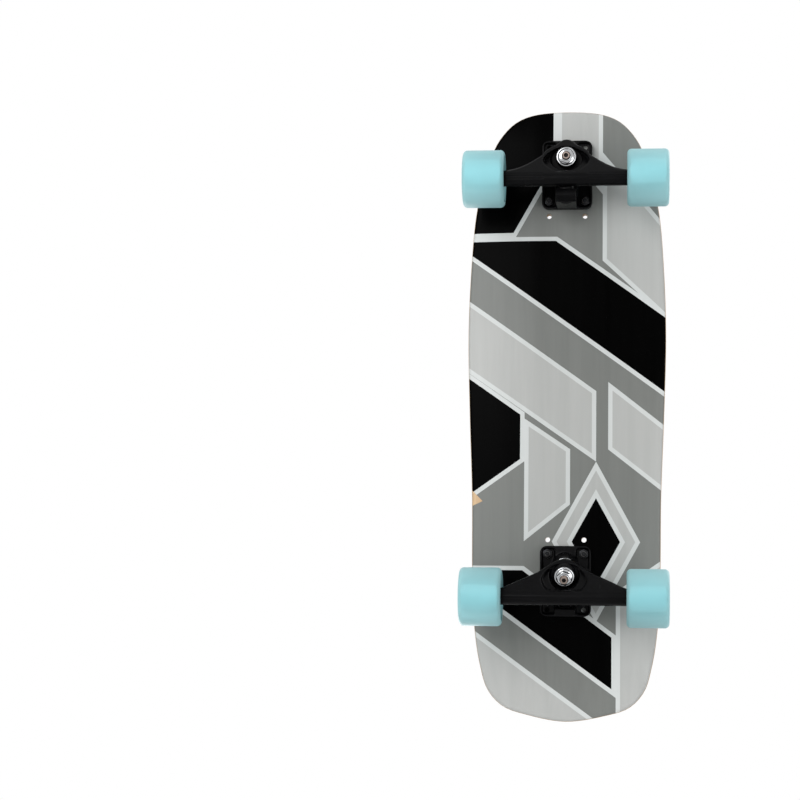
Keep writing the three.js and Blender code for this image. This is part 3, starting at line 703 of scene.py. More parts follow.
def rounded_rectangle(width: float, length: float, radius: float, steps: int = 8) -> list[Point2]:
    """Gives the points of a rectangle with round corners.

    Args:
        width: its size along X.
        length: its size along Y.
        radius: its corners' radius.
        steps: steps round each corner.

    Returns:
        The points.
    """
    points = []
    for corner, (side_x, side_y) in enumerate(((1, 1), (-1, 1), (-1, -1), (1, -1))):
        for k in range(steps + 1):
            angle = QUARTER * (corner + k / steps)
            points.append((side_x * (width / 2 - radius) + radius * math.cos(angle),
                           side_y * (length / 2 - radius) + radius * math.sin(angle)))
    return points


def arc(centre: Point2, radius: float, start: float, end: float, steps: int) -> list[Point2]:
    """Gives profile points on an arc, with its angles in degrees."""
    angles = [math.radians(lerp(start, end, k / steps)) for k in range(steps + 1)]
    return [(centre[0] + radius * math.cos(a), centre[1] + radius * math.sin(a)) for a in angles]


def placed(piece: Shape, *matrices: Matrix) -> Shape:
    """Moves a piece's mesh by the matrices, the first one applied first."""
    for matrix in matrices:
        piece.data.transform(matrix)
    return piece


def shift(x: float = 0.0, y: float = 0.0, z: float = 0.0) -> Matrix:
    """Gives a translation."""
    return Matrix.Translation((x, y, z))


def turned(angle: float, axis: str) -> Matrix:
    """Gives a turn about an axis, in radians."""
    return Matrix.Rotation(angle, 4, axis)


OVER = turned(math.pi, "X")
ACROSS = turned(QUARTER, "Y")


def settle(piece: Shape) -> Shape:
    """Applies a piece's modifiers to its mesh.

    Args:
        piece: the piece.

    Returns:
        The piece.
    """
    bpy.context.view_layer.update()
    graph = bpy.context.evaluated_depsgraph_get()
    fresh = bpy.data.meshes.new_from_object(piece.evaluated_get(graph), depsgraph=graph)
    old = piece.data
    piece.modifiers.clear()
    piece.data = fresh
    bpy.data.meshes.remove(old)
    return piece


class Cut(Enum):
    """What a boolean does."""

    TAKE = "DIFFERENCE"
    ADD = "UNION"
    KEEP = "INTERSECT"


def carve(piece: Shape, cut: Cut, *tools: Shape, dressed: bool = False) -> Shape:
    """Applies booleans to a piece and deletes the tools.

    Args:
        piece: what is cut or added to.
        cut: the operation.
        *tools: closed objects.
        dressed: whether the cut's walls take the tools' finish.

    Returns:
        The piece.
    """
    for tool in tools:
        modifier = piece.modifiers.new("cut", "BOOLEAN")
        modifier.operation = cut.value
        modifier.solver = "EXACT" if dressed else "MANIFOLD"
        if dressed:
            modifier.material_mode = "TRANSFER"
        modifier.object = tool
    settle(piece)
    for tool in tools:
        discard(tool)
    return piece


def joined(name: str, pieces: Iterable[Shape]) -> Shape:
    """Joins pieces into one mesh, with each piece's own materials.

    Args:
        name: the new object's name.
        pieces: what is joined and then deleted.

    Returns:
        The joined object.
    """
    mesh = bmesh.new()
    materials: list[bpy.types.Material] = []
    for piece in pieces:
        before = len(mesh.faces)
        mesh.from_mesh(piece.data)
        mesh.faces.ensure_lookup_table()
        slots = list(piece.data.materials)
        materials += [material for material in slots if material not in materials]
        for face in mesh.faces[before:]:
            face.material_index = materials.index(slots[face.material_index]) if slots else 0
        discard(piece)
    made = to_object(name, mesh, face_out=False)
    for material in materials:
        made.data.materials.append(material)
    return made


def cast_skin(piece: Shape, voxel: float, rounds: int, keep: float) -> None:
    """Fuses overlapping solids into one casting whose edges and inner corners are softly rounded.

    Args:
        piece: the joined solids.
        voxel: the remesh size.
        rounds: how often the skin is smoothed.
        keep: the share of faces kept after thinning.
    """
    remesh = piece.modifiers.new("fuse", "REMESH")
    remesh.mode = "VOXEL"
    remesh.voxel_size = voxel
    smooth = piece.modifiers.new("round", "SMOOTH")
    smooth.factor = 0.5
    smooth.iterations = rounds
    piece.modifiers.new("thin", "DECIMATE").ratio = keep
    settle(piece)
    piece.data.shade_smooth()


def threaded_rod(radius: float, pitch: float, low: float, high: float, chamfer: float) -> Shape:
    """Makes a stud whose surface carries a helical thread.

    Args:
        radius: the crest radius.
        pitch: the thread's pitch.
        low: the lower end.
        high: the upper end.
        chamfer: how far both ends are drawn in.

    Returns:
        The stud.
    """
    depth = THREAD_DEPTH * pitch
    count = max(2, round((high - low) / pitch * THREAD_ROWS))
    rows = []
    for r in range(count + 1):
        z = lerp(low, high, r / count)
        limit = radius - chamfer + min(z - low, high - z, chamfer)
        row = []
        for k, angle in enumerate(turns(THREAD_SIDES)):
            phase = (z / pitch - k / THREAD_SIDES) % 1.0
            reach = min(radius - depth * (1 - abs(2 * phase - 1)), limit)
            row.append(Vector((reach * math.cos(angle), reach * math.sin(angle), z)))
        rows.append(row)
    return loft("thread", rows)


def ride(piece: Shape, body: str, slot: str, *nodes: str) -> None:
    """Hands a finished piece to the frame.

    Args:
        piece: the piece.
        body: the body that it moves with.
        slot: the record's material slot; not used.
        *nodes: the CAD nodes that it stands for.
    """
    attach(piece, body)
    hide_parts(*nodes)
    log.info("%s rides on %s, %d faces", piece.name, body, len(piece.data.polygons))


def bend(piece: Shape, bodies: tuple[str, str], start: Vector, end: Vector, slot: str, *nodes: str) -> None:
    """Bakes the place of a soft piece that is squeezed across a joint into its mesh and hides the CAD nodes
    that it stands for.

    Args:
        piece: the piece.
        bodies: the body at its start and the body at its end, only named in the log.
        start: where it would start to follow the second body; not used.
        end: where it would follow the second body wholly; not used.
        slot: the record's material slot; not used.
        *nodes: the CAD nodes that it stands for.
    """
    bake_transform(piece)
    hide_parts(*nodes)
    log.info("%s bends between %s and %s", piece.name, *bodies)


# ---------------------------------------------------------------- deck and grip


@dataclass(frozen=True)
class Motif:
    """One straight-edged field: a convex outline in shares of the half width and half length."""

    ink: Finish
    corners: tuple[Point2, ...]
    border: float = 0.0049
    border_ink: Finish = INK_KEY


UNDERSIDE = (
    Motif(INK_BLACK, ((1.3, 0.58), (1.3, 1.2), (0.1, 1.2), (0.1, 0.82), (0.52, 0.58))),
    Motif(INK_LIGHT, ((0.1, 0.9), (0.1, 1.2), (-0.36, 1.2), (-0.36, 0.72))),
    Motif(INK_LIGHT, ((-0.36, 0.86), (-0.36, 0.5), (-1.3, 0.22), (-1.3, 0.5))),
    Motif(INK_BLACK, ((1.3, 0.58), (-1.3, -0.02), (-1.3, 0.26), (0.1, 0.58))),
    Motif(INK_LIGHT, ((1.3, 0.44), (1.3, 0.2), (-0.3, -0.16), (-0.3, 0.07))),
    Motif(INK_BLACK, ((1.3, 0.2), (1.3, -0.36), (0.42, -0.16), (0.42, 0.0))),
    Motif(INK_LIGHT, ((0.42, -0.02), (0.42, -0.42), (-0.04, -0.3), (-0.04, -0.12))),
    Motif(INK_LIGHT, ((-0.42, 0.1), (-0.42, -0.12), (-1.3, -0.34), (-1.3, -0.12))),
    Motif(MAPLE, ((1.3, -0.14), (0.84, -0.29), (1.3, -0.36)), border=0.0),
    Motif(INK_LIGHT, ((-0.3, -0.16), (0.14, -0.42), (-0.3, -0.68), (-0.74, -0.42))),
    Motif(INK_BLACK, ((-0.3, -0.25), (-0.01, -0.42), (-0.3, -0.59), (-0.59, -0.42))),
    Motif(INK_BLACK, ((1.3, -0.5), (-0.5, -0.92), (-0.5, -0.72), (0.42, -0.5))),
    Motif(INK_LIGHT, ((1.3, -0.62), (1.3, -0.84), (0.1, -1.2), (-0.5, -1.2), (-0.5, -1.04))),
    Motif(INK_LIGHT, ((-0.5, -0.58), (-0.5, -1.3), (-1.3, -1.3), (-1.3, -0.4))),
)
WINDOWS = (
    Motif(INK_SILVER, ((0.2, -1.1), (1.3, -0.42), (1.3, -1.1)), 0.0018, BROWN_EDGE),
    Motif(INK_SILVER, ((-1.3, 0.22), (-1.3, 0.44), (-0.16, 0.08), (-0.16, -0.14)), 0.0018, BROWN_EDGE),
    Motif(STAINED, ((0.42, 0.36), (0.58, 0.5), (0.42, 0.64), (0.26, 0.5)), 0.0018, BROWN_EDGE),
)
DECK_FINISHES = (INK_GREY, PLIES, STAINED, INK_BLACK, INK_LIGHT, INK_KEY, MAPLE, INK_SILVER, BROWN_EDGE)


class Side(IntEnum):
    """The face indices of a pressed sheet."""

    BELOW = 0
    RIM = 1
    TOP = 2


@dataclass
class Laminate:
    """The pressed sheet's form: outline, concave, kicked tail and rounded rim."""

    length: float = 0.705
    width: float = 0.228
    thickness: float = 0.0115
    underside: float = 0.0945
    edge_radius: float = 0.003
    flat_half_width: float = 0.032
    concave_rise: float = 0.007
    concave_exponent: float = 1.7
    tail_start: float = 0.246
    tail_rise: float = 0.015
    nose_start: float = 0.312
    nose_rise: float = 0.004
    kick_exponent: float = 1.6
    spine_setback: float = 0.072
    corner_steps: int = 12
    rim_steps: int = 240
    skin_steps: int = 22
    edge_steps: int = 5
    outline_shares: tuple[Point2, ...] = (
        (1, 0), (0.99, 0.355), (0.964, 0.538), (0.911, 0.69), (0.859, 0.772), (0.76, 0.868), (0.65, 0.934),
        (0.49, 0.975), (0.26, 1), (0, 0.981), (-0.27, 0.95), (-0.56, 0.939), (-0.717, 0.909), (-0.82, 0.858),
        (-0.9, 0.782), (-0.953, 0.63), (-0.98, 0.386), (-1, 0),
    )

    def lift(self, x: float, y: float) -> float:
        """Gives how far the press lifts the sheet above its flat middle.

        Args:
            x: the place across the board.
            y: the place along it.

        Returns:
            The lift.
        """
        half_width, half_length = self.width / 2, self.length / 2
        side = max(0.0, abs(x) - self.flat_half_width) / (half_width - self.flat_half_width)
        tail = max(0.0, -y - self.tail_start) / (half_length - self.tail_start)
        nose = max(0.0, y - self.nose_start) / (half_length - self.nose_start)
        return (self.concave_rise * side ** self.concave_exponent
                + self.tail_rise * tail ** self.kick_exponent
                + self.nose_rise * nose ** self.kick_exponent)

    def rim(self) -> list[tuple[Vector, Vector]]:
        """Walks the outline once round.

        Returns:
            Evenly spaced points, each with the direction that points out of the sheet.
        """
        right = [Vector((x * self.width / 2, y * self.length / 2)) for y, x in self.outline_shares]
        ring = right + [Vector((-p.x, p.y)) for p in reversed(right[1:-1])]
        dense: list[Vector] = []
        for k in range(len(ring)):
            quad = [ring[(k + j - 1) % len(ring)] for j in range(4)]
            dense += [self._through(quad, step / self.corner_steps) for step in range(self.corner_steps)]
        lengths = [0.0]
        for a, b in zip(dense, dense[1:] + dense[:1]):
            lengths.append(lengths[-1] + (b - a).length)
        points, k = [], 0
        for step in range(self.rim_steps):
            goal = lengths[-1] * step / self.rim_steps
            while lengths[k + 1] < goal:
                k += 1
            share = (goal - lengths[k]) / (lengths[k + 1] - lengths[k])
            points.append(dense[k].lerp(dense[(k + 1) % len(dense)], share))
        made = []
        for j, point in enumerate(points):
            along = points[(j + 1) % len(points)] - points[j - 1]
            made.append((point, Vector((-along.y, along.x)).normalized()))
        return made

    @staticmethod
    def _through(quad: list[Vector], share: float) -> Vector:
        """Evaluates a centripetal spline between the middle two of four points.

        Args:
            quad: the points.
            share: how far it is from the second to the third.

        Returns:
            The point.
        """
        knots = [0.0]
        for a, b in zip(quad, quad[1:]):
            knots.append(knots[-1] + max((b - a).length, TINY) ** 0.5)
        t = lerp(knots[1], knots[2], share)
        level = list(quad)
        for span in (1, 2):
            for k in range(4 - span):
                low, high = knots[k], knots[k + span]
                level[k] = level[k].lerp(level[k + 1], (t - low) / (high - low))
        return level[0].lerp(level[1], (t - knots[1]) / (knots[2] - knots[1]))

    def sheet(self, name: str, inset: float, floor: float, thickness: float, edge_radius: float) -> Shape:
        """Presses a closed sheet.

        Args:
            name: the object's name.
            inset: how far its rim lies inside the outline.
            floor: the height of its lower face in the flat middle.
            thickness: its thickness.
            edge_radius: the radius of its rounded rim.

        Returns:
            The object, with the face indices of Side.
        """
        rim = self.rim()
        limit = self.length / 2 - self.spine_setback
        mesh = bmesh.new()

        def row(depth: float, height: float, share: float) -> list[bmesh.types.BMVert]:
            """Adds one loop of points, drawn in from the rim and towards the spine.

            Args:
                depth: how far in from the rim.
                height: the height in the sheet.
                share: 0 lies on the spine, 1 at the rim.

            Returns:
                The loop.
            """
            verts = []
            for point, outward in rim:
                edge = point - outward * (inset + depth)
                spine = Vector((0.0, min(limit, max(-limit, edge.y))))
                place = spine.lerp(edge, share)
                verts.append(mesh.verts.new((*place, floor + height + self.lift(*place))))
            return verts

        steps = self.edge_steps
        shares = [k / self.skin_steps for k in range(self.skin_steps + 1)]
        angles = [QUARTER * k / steps for k in range(1, steps + 1)] if edge_radius else []
        edge = [(edge_radius * (1 - math.sin(a)), edge_radius * (1 - math.cos(a))) for a in angles]
        rows = [(row(edge_radius, 0.0, share), Side.BELOW) for share in shares]
        rows += [(row(depth, height, 1.0), Side.RIM if k > steps // 2 else Side.BELOW)
                 for k, (depth, height) in enumerate(edge)]
        rows += [(row(depth, thickness - height, 1.0), Side.RIM) for depth, height in reversed(edge)]
        rows += [(row(edge_radius, thickness, share), Side.RIM if share == 1.0 else Side.TOP)
                 for share in reversed(shares)]
        loops, kinds = zip(*rows)
        skin(mesh, loops, kinds[1:])
        bmesh.ops.remove_doubles(mesh, verts=mesh.verts, dist=ONE_POINT)
        return to_object(name, mesh)


def edges_of(corners: Profile) -> list[tuple[Vector, Vector]]:
    """Gives each edge of an outline as its two ends."""
    return [(Vector(a), Vector(b)) for a, b in zip(corners, (*corners[1:], corners[0]))]


def inset_corners(corners: Profile, inset: float) -> list[Point2]:
    """Draws a convex outline in.

    Args:
        corners: the corners, in either direction.
        inset: how far each edge moves inwards.

    Returns:
        The new corners.
    """
    centre = sum((Vector(c) for c in corners), Vector((0.0, 0.0))) / len(corners)
    lines = []
    for a, b in edges_of(corners):
        normal = Vector((a.y - b.y, b.x - a.x)).normalized()
        normal *= 1 if normal.dot(centre - a) > 0 else -1
        lines.append((a + normal * inset, b + normal * inset))
    made = []
    for k, (a, b) in enumerate(lines):
        c, d = lines[k - 1]
        meet = abs((b - a).cross(d - c)) > PARALLEL
        spot = c + (d - c) * ((a - c).cross(b - a) / (d - c).cross(b - a)) if meet else a
        made.append(tuple(spot))
    return made


def within(corners: Profile, x: float, y: float) -> bool:
    """Tells whether a point lies in a convex outline."""
    pairs = zip(corners, (*corners[1:], corners[0]))
    return len({(bx - ax) * (y - ay) - (by - ay) * (x - ax) > 0 for (ax, ay), (bx, by) in pairs}) == 1


@dataclass
class Deck:
    """The laminate with its print, its stained top, its holes and the grit on it."""

    laminate: Laminate
    glue_gap: float = 0.0002
    grip_thickness: float = 0.001
    bolt_across: float = 0.0413
    bolt_along: float = 0.054
    pattern_centres: Point2 = (0.2715, -0.1892)
    spare_shift: float = 0.0162
    hole_radius: float = 0.0029
    head_radius: float = 0.0057
    head_height: float = 0.0032
    head_rim: float = 0.0008

    @property
    def top(self) -> float:
        """Gives the height of the deck's upper face in the flat middle."""
        return self.laminate.underside + self.laminate.thickness

    @property
    def grip_top(self) -> float:
        """Gives the height of the grit in the flat middle."""
        return self.top + self.glue_gap + self.grip_thickness

    def metres(self, shares: Profile) -> list[Point2]:
        """Turns shares of the half width and half length into metres."""
        return [(x * self.laminate.width / 2, y * self.laminate.length / 2) for x, y in shares]

    def hole_tools(self) -> Shape:
        """Makes the cutters of the countersunk holes and the open spare holes.

        Returns:
            One joined object.
        """
        tools = []
        low, high = self.laminate.underside - PAST, self.grip_top + PAST
        bore, head, grip_top = self.hole_radius, self.head_radius, self.grip_top
        for centre in self.pattern_centres:
            inward = -math.copysign(self.spare_shift, centre)
            for x in (-self.bolt_across / 2, self.bolt_across / 2):
                for y in (centre - self.bolt_along / 2, centre + self.bolt_along / 2):
                    used = lathe("used", [
                        (0, low), (bore, low), (bore, grip_top - self.head_height),
                        (head, grip_top - self.head_rim), (head, high), (0, high)], 32)
                    spare = cylinder("spare", bore, low, high, 28)
                    tools += [placed(used, shift(x, y)), placed(spare, shift(x, y + inward))]
        return joined("holes", tools)

    def build_deck(self) -> None:
        """Builds the printed laminate."""
        sheet = self.laminate
        deck = sheet.sheet("deck_laminate", 0.0, sheet.underside, sheet.thickness, sheet.edge_radius)
        mesh = bmesh.new()
        mesh.from_mesh(deck.data)
        self._print(mesh, Side.BELOW, UNDERSIDE)
        self._print(mesh, Side.TOP, WINDOWS)
        mesh.to_mesh(deck.data)
        mesh.free()
        carve(dress(deck, *DECK_FINISHES), Cut.TAKE, dress(self.hole_tools(), PLIES), dressed=True)
        marks = deck.data.attributes.new("sheet_height", "FLOAT", "POINT")
        marks.data.foreach_set(
            "value", [v.co.z - sheet.underside - sheet.lift(v.co.x, v.co.y) for v in deck.data.vertices])
        ride(soften(deck, PRESSED_EDGE), "board", "deck", "deck")

    def _print(self, mesh: bmesh.types.BMesh, side: Side, motifs: Sequence[Motif]) -> None:
        """Scores motifs into one side of the sheet, later ones over earlier ones, and inks their cells.

        Args:
            mesh: the sheet.
            side: the side.
            motifs: the motifs.
        """
        marker = mesh.faces.layers.int.new("side")
        for face in mesh.faces:
            face[marker] = int(face.material_index == side)
        for motif in motifs:
            outer = self.metres(motif.corners)
            inner = inset_corners(outer, motif.border) if motif.border else outer
            for outline in (outer, inner) if motif.border else (outer,):
                self._score(mesh, marker, outline)
            for face in mesh.faces:
                spot = face.calc_center_median()
                if face[marker] and within(outer, spot.x, spot.y):
                    ink = motif.ink if within(inner, spot.x, spot.y) else motif.border_ink
                    face.material_index = DECK_FINISHES.index(ink)
        mesh.faces.layers.int.remove(marker)

    @staticmethod
    def _score(mesh: bmesh.types.BMesh, marker: bmesh.types.BMLayerItem, outline: Profile,
               margin: float = 0.02) -> None:
        """Cuts the marked faces near each edge of an outline along that edge.

        Args:
            mesh: the sheet.
            marker: the face layer that marks what may be cut.
            outline: the outline, in metres.
            margin: how far past the edge's ends the cut may run.
        """
        for a, b in edges_of(outline):
            along = (b - a).normalized()
            across = Vector((-along.y, along.x))
            chosen = []
            for face in mesh.faces:
                if face[marker]:
                    spots = [Vector((v.co.x, v.co.y)) - a for v in face.verts]
                    sides = [s.dot(across) for s in spots]
                    runs = [s.dot(along) for s in spots]
                    crossed = min(sides) < 0 < max(sides)
                    if crossed and max(runs) > -margin and min(runs) < (b - a).length + margin:
                        chosen.append(face)
            if chosen:
                edges = list({e for f in chosen for e in f.edges})
                verts = list({v for f in chosen for v in f.verts})
                bmesh.ops.bisect_plane(mesh, geom=chosen + edges + verts, dist=SNAP,
                                       plane_co=(a.x, a.y, 0.0), plane_no=(across.x, across.y, 0.0))

    def build_grip(self) -> None:
        """Builds the grit sheet with its windows and holes."""
        sheet = self.laminate
        floor = self.top + self.glue_gap
        grip = sheet.sheet("grit_sheet", sheet.edge_radius, floor, self.grip_thickness, 0.0)
        high = self.grip_top + (sheet.tail_rise + sheet.concave_rise) + PAST
        tools = [prism("window", self.metres(window.corners), self.top - PAST, high) for window in WINDOWS]
        dress(grip, GRIT)
        for face in grip.data.polygons:
            face.material_index = 0
        for tool in (joined("windows", tools), self.hole_tools()):
            carve(grip, Cut.TAKE, dress(tool, GRIT), dressed=True)
        ride(soften(grip, TURNED_EDGE), "board", "grip", "grip_tape")

    def build(self) -> None:
        """Builds the deck and its grit."""
        self.build_deck()
        self.build_grip()


# ---------------------------------------------------------------- fasteners


@dataclass(frozen=True)
class LockNut:
    """A hex nut with chamfered corners, a round collar and the nylon ring in it."""

    width: float
    height: float
    collar_radius: float
    collar_height: float
    stud_radius: float
    metal: Finish
    ring_wall: float = 0.0012
    play: float = 0.00005
    chamfer_share: float = 0.55
    face_share: float = 0.98
    lip_share: float = 0.45
    collar_base: float = 0.6
    ring_base: float = 0.7
    collar_sink: float = 0.2
    ring_sinks: Point2 = (0.5, 0.7)

    def build(self, name: str) -> Shape:
        """Builds the nut with its seat at Z = 0.

        Args:
            name: the object's name.

        Returns:
            The nut.
        """
        corner, flat = self.width / math.sqrt(3), self.width / 2
        drop, face = (corner - flat) * self.chamfer_share, flat * self.face_share
        top, lip = self.height + self.collar_height, self.collar_height * self.lip_share
        collar_base, ring_base = self.height * self.collar_base, self.height * self.ring_base
        bore = self.stud_radius + self.play
        wall, collar_radius = bore + self.ring_wall, self.collar_radius
        body = prism("body", hexagon(self.width), 0.0, self.height)
        carve(body, Cut.KEEP, lathe("limit", [
            (0, 0), (face, 0), (corner, drop), (corner, self.height - drop), (face, self.height),
            (0, self.height)], 48))
        carve(body, Cut.TAKE, cylinder("bore", bore, -lip, top, 40))
        collar = lathe("collar", [
            (wall, collar_base), (collar_radius, collar_base),
            *arc((collar_radius - lip, top - lip), lip, 0, 90, 5),
            (wall, top - lip * self.collar_sink)], 48, closed=True)
        outside, inside = (top - lip * sink for sink in self.ring_sinks)
        ring = lathe("ring", [(bore, ring_base), (wall, ring_base), (wall, outside), (bore, inside)],
                     40, closed=True)
        parts = [dress(body, self.metal), dress(collar, self.metal), dress(ring, NYLON)]
        return soften(joined(name, parts), STEEL_EDGE)


POCKET_NUT = LockNut(0.0095, 0.0046, 0.0039, 0.0016, 0.0024, BLACK_STEEL)
KINGPIN_NUT = LockNut(0.0143, 0.0064, 0.0061, 0.0022, KINGPIN_RADIUS, BRIGHT_STEEL)
AXLE_NUT = LockNut(0.0127, 0.0046, 0.0054, 0.0018, AXLE_RADIUS, BRIGHT_STEEL)


@dataclass
class DeckBolt:
    """A countersunk bolt with a hex socket and a threaded end."""

    head_radius: float = 0.0054
    head_height: float = 0.0032
    head_rim: float = 0.0006
    head_room: float = 0.0003
    shank_radius: float = 0.0024
    socket_width: float = 0.0034
    socket_depth: float = 0.0021
    dish: float = 0.0003
    dish_share: float = 0.75
    thread_pitch: float = 0.0008
    thread_length: float = 0.012
    thread_lap: float = 0.0002
    tip_chamfer: float = 0.0005

    def build(self, name: str, length: float) -> Shape:
        """Builds the bolt with the top of its head at Z = 0.

        Args:
            name: the object's name.
            length: its whole length.

        Returns:
            The bolt.
        """
        soft, thread_top, shank = self.head_rim / 2, -length + self.thread_length, self.shank_radius
        head = lathe("head", [
            (0, thread_top), (shank, thread_top), (shank, -self.head_height - self.head_room),
            (self.head_radius, -self.head_rim - self.head_room),
            *arc((self.head_radius - soft, -soft), soft, 0, 90, 4),
            (self.socket_width * self.dish_share, -self.dish), (0, -self.dish)], 48)
        carve(head, Cut.TAKE, prism("socket", hexagon(self.socket_width), -self.socket_depth, LAP))
        thread = threaded_rod(shank, self.thread_pitch, -length, thread_top + self.thread_lap,
                              self.tip_chamfer)
        parts = [dress(head, BLACK_STEEL), dress(thread, BLACK_STEEL)]
        return soften(joined(name, parts), STEEL_EDGE)


@dataclass
class DeckHardware:
    """The bolts through the deck and their nuts in the baseplates' pockets."""

    deck: Deck
    pocket_ceiling: float = 0.005
    tip: float = 0.0025
    twist: float = 0.9

    def build(self) -> None:
        """Builds four bolts and four nuts for each truck."""
        nut_top = self.deck.laminate.underside - 2 * PLAY - self.pocket_ceiling
        length = self.deck.grip_top - nut_top + POCKET_NUT.height + POCKET_NUT.collar_height + self.tip
        half_x, half_y = self.deck.bolt_across / 2, self.deck.bolt_along / 2
        for end, centre in zip(("front", "rear"), self.deck.pattern_centres):
            for k, (side, way) in enumerate(((-1, 1), (1, 1), (-1, -1), (1, -1)), start=1):
                x, y = side * half_x, centre + way * half_y
                bolt = placed(DeckBolt().build(f"{end}_deck_bolt_{k}", length),
                              turned(self.twist * k + centre, "Z"), shift(x, y, self.deck.grip_top))
                ride(bolt, "board", "black_steel", f"{end}_mounting_bolt_{k}")
                nut = placed(POCKET_NUT.build(f"{end}_pocket_nut_{k}"), OVER, turned(math.pi / 6, "Z"),
                             shift(x, y, nut_top))
                ride(nut, "board", "black_steel", f"{end}_lock_nut_{k}")


# ---------------------------------------------------------------- trucks


@dataclass(frozen=True)
class Bushing:
    """A poured bushing: a barrel that bellies out between round ends, or a cone that widens upwards."""

    height: float
    radius: float
    end_radius: float
    barrel: bool
    soft: float = 0.0012
    rows: int = 8
    flank: float = 0.75
    flank_rows: int = 6

    def section(self, bore: float) -> list[Point2]:
        """Gives the points of its section.

        Args:
            bore: the radius of its bore.

        Returns:
            The closed section.
        """
        soft, end, top, rows = self.soft, self.end_radius, self.height - self.soft, self.rows
        if self.barrel:
            side = [(lerp(end, self.radius, math.sin(math.pi * k / rows)), lerp(soft, top, k / rows))
                    for k in range(1, rows)]
            side += arc((end - soft, top), soft, 0, 90, 4)
        else:
            steps = self.flank_rows
            side = [(lerp(end, self.radius, math.sin(QUARTER * k / steps)),
                     lerp(soft, self.height * self.flank, k / steps)) for k in range(1, steps + 1)]
            side.append((self.radius, self.height))
        hole = [(bore, self.height * (1 - k / rows)) for k in range(rows)]
        return [(bore, 0), *arc((end - soft, soft), soft, -90, 0, 4), *side, *hole]


@dataclass(frozen=True)
class TruckShape:
    """What differs between the two trucks, measured from the middle of the axle."""

    name: str
    axle_y: float
    setback: float
    outward: int
    ring_ahead: float
    ring_above: float
    lean: float
    pivot_behind: float
    pivot_above: float
    housing_setback: float
    housing_flare: float
    apex_reach: float
    apex_height: float
    apex_radius: float
    boss: Point2
    bowl: Point2
    bowl_setback: float
    recess: Point2
    recess_setback: float
    recess_depth: float
    arm_shares: tuple[Point2, ...]


FRONT = TruckShape(
    "front", axle_y=0.260, setback=0.0115, outward=1, ring_ahead=0.0295, ring_above=0.0335, lean=4.0,
    pivot_behind=0.017, pivot_above=0.009, housing_setback=0.024, housing_flare=0.009, apex_reach=0.052,
    apex_height=0.0315, apex_radius=0.006, boss=(0.0275, 0.018), bowl=(0.0185, 0.015), bowl_setback=0.0018,
    recess=(0.0264, 0.0166), recess_setback=0.0044, recess_depth=0.008,
    arm_shares=((0, 1), (0.06, 0.97), (0.13, 0.85), (0.3, 0.56), (0.5, 0.27), (0.67, 0.1), (0.85, 0.02),
                (1, 0)))
REAR = TruckShape(
    "rear", axle_y=-0.212, setback=0.0228, outward=-1, ring_ahead=0.028, ring_above=0.025, lean=17.0,
    pivot_behind=0.0095, pivot_above=0.0425, housing_setback=0.0205, housing_flare=0.001, apex_reach=0.040,
    apex_height=0.022, apex_radius=0.0065, boss=(0.022, 0.0149), bowl=(0.0167, 0.0128), bowl_setback=0.0,
    recess=(0.0255, 0.0145), recess_setback=0.0022, recess_depth=0.005,
    arm_shares=((0, 1), (0.12, 0.97), (0.24, 0.84), (0.36, 0.63), (0.61, 0.33), (0.85, 0.05), (1, 0)))


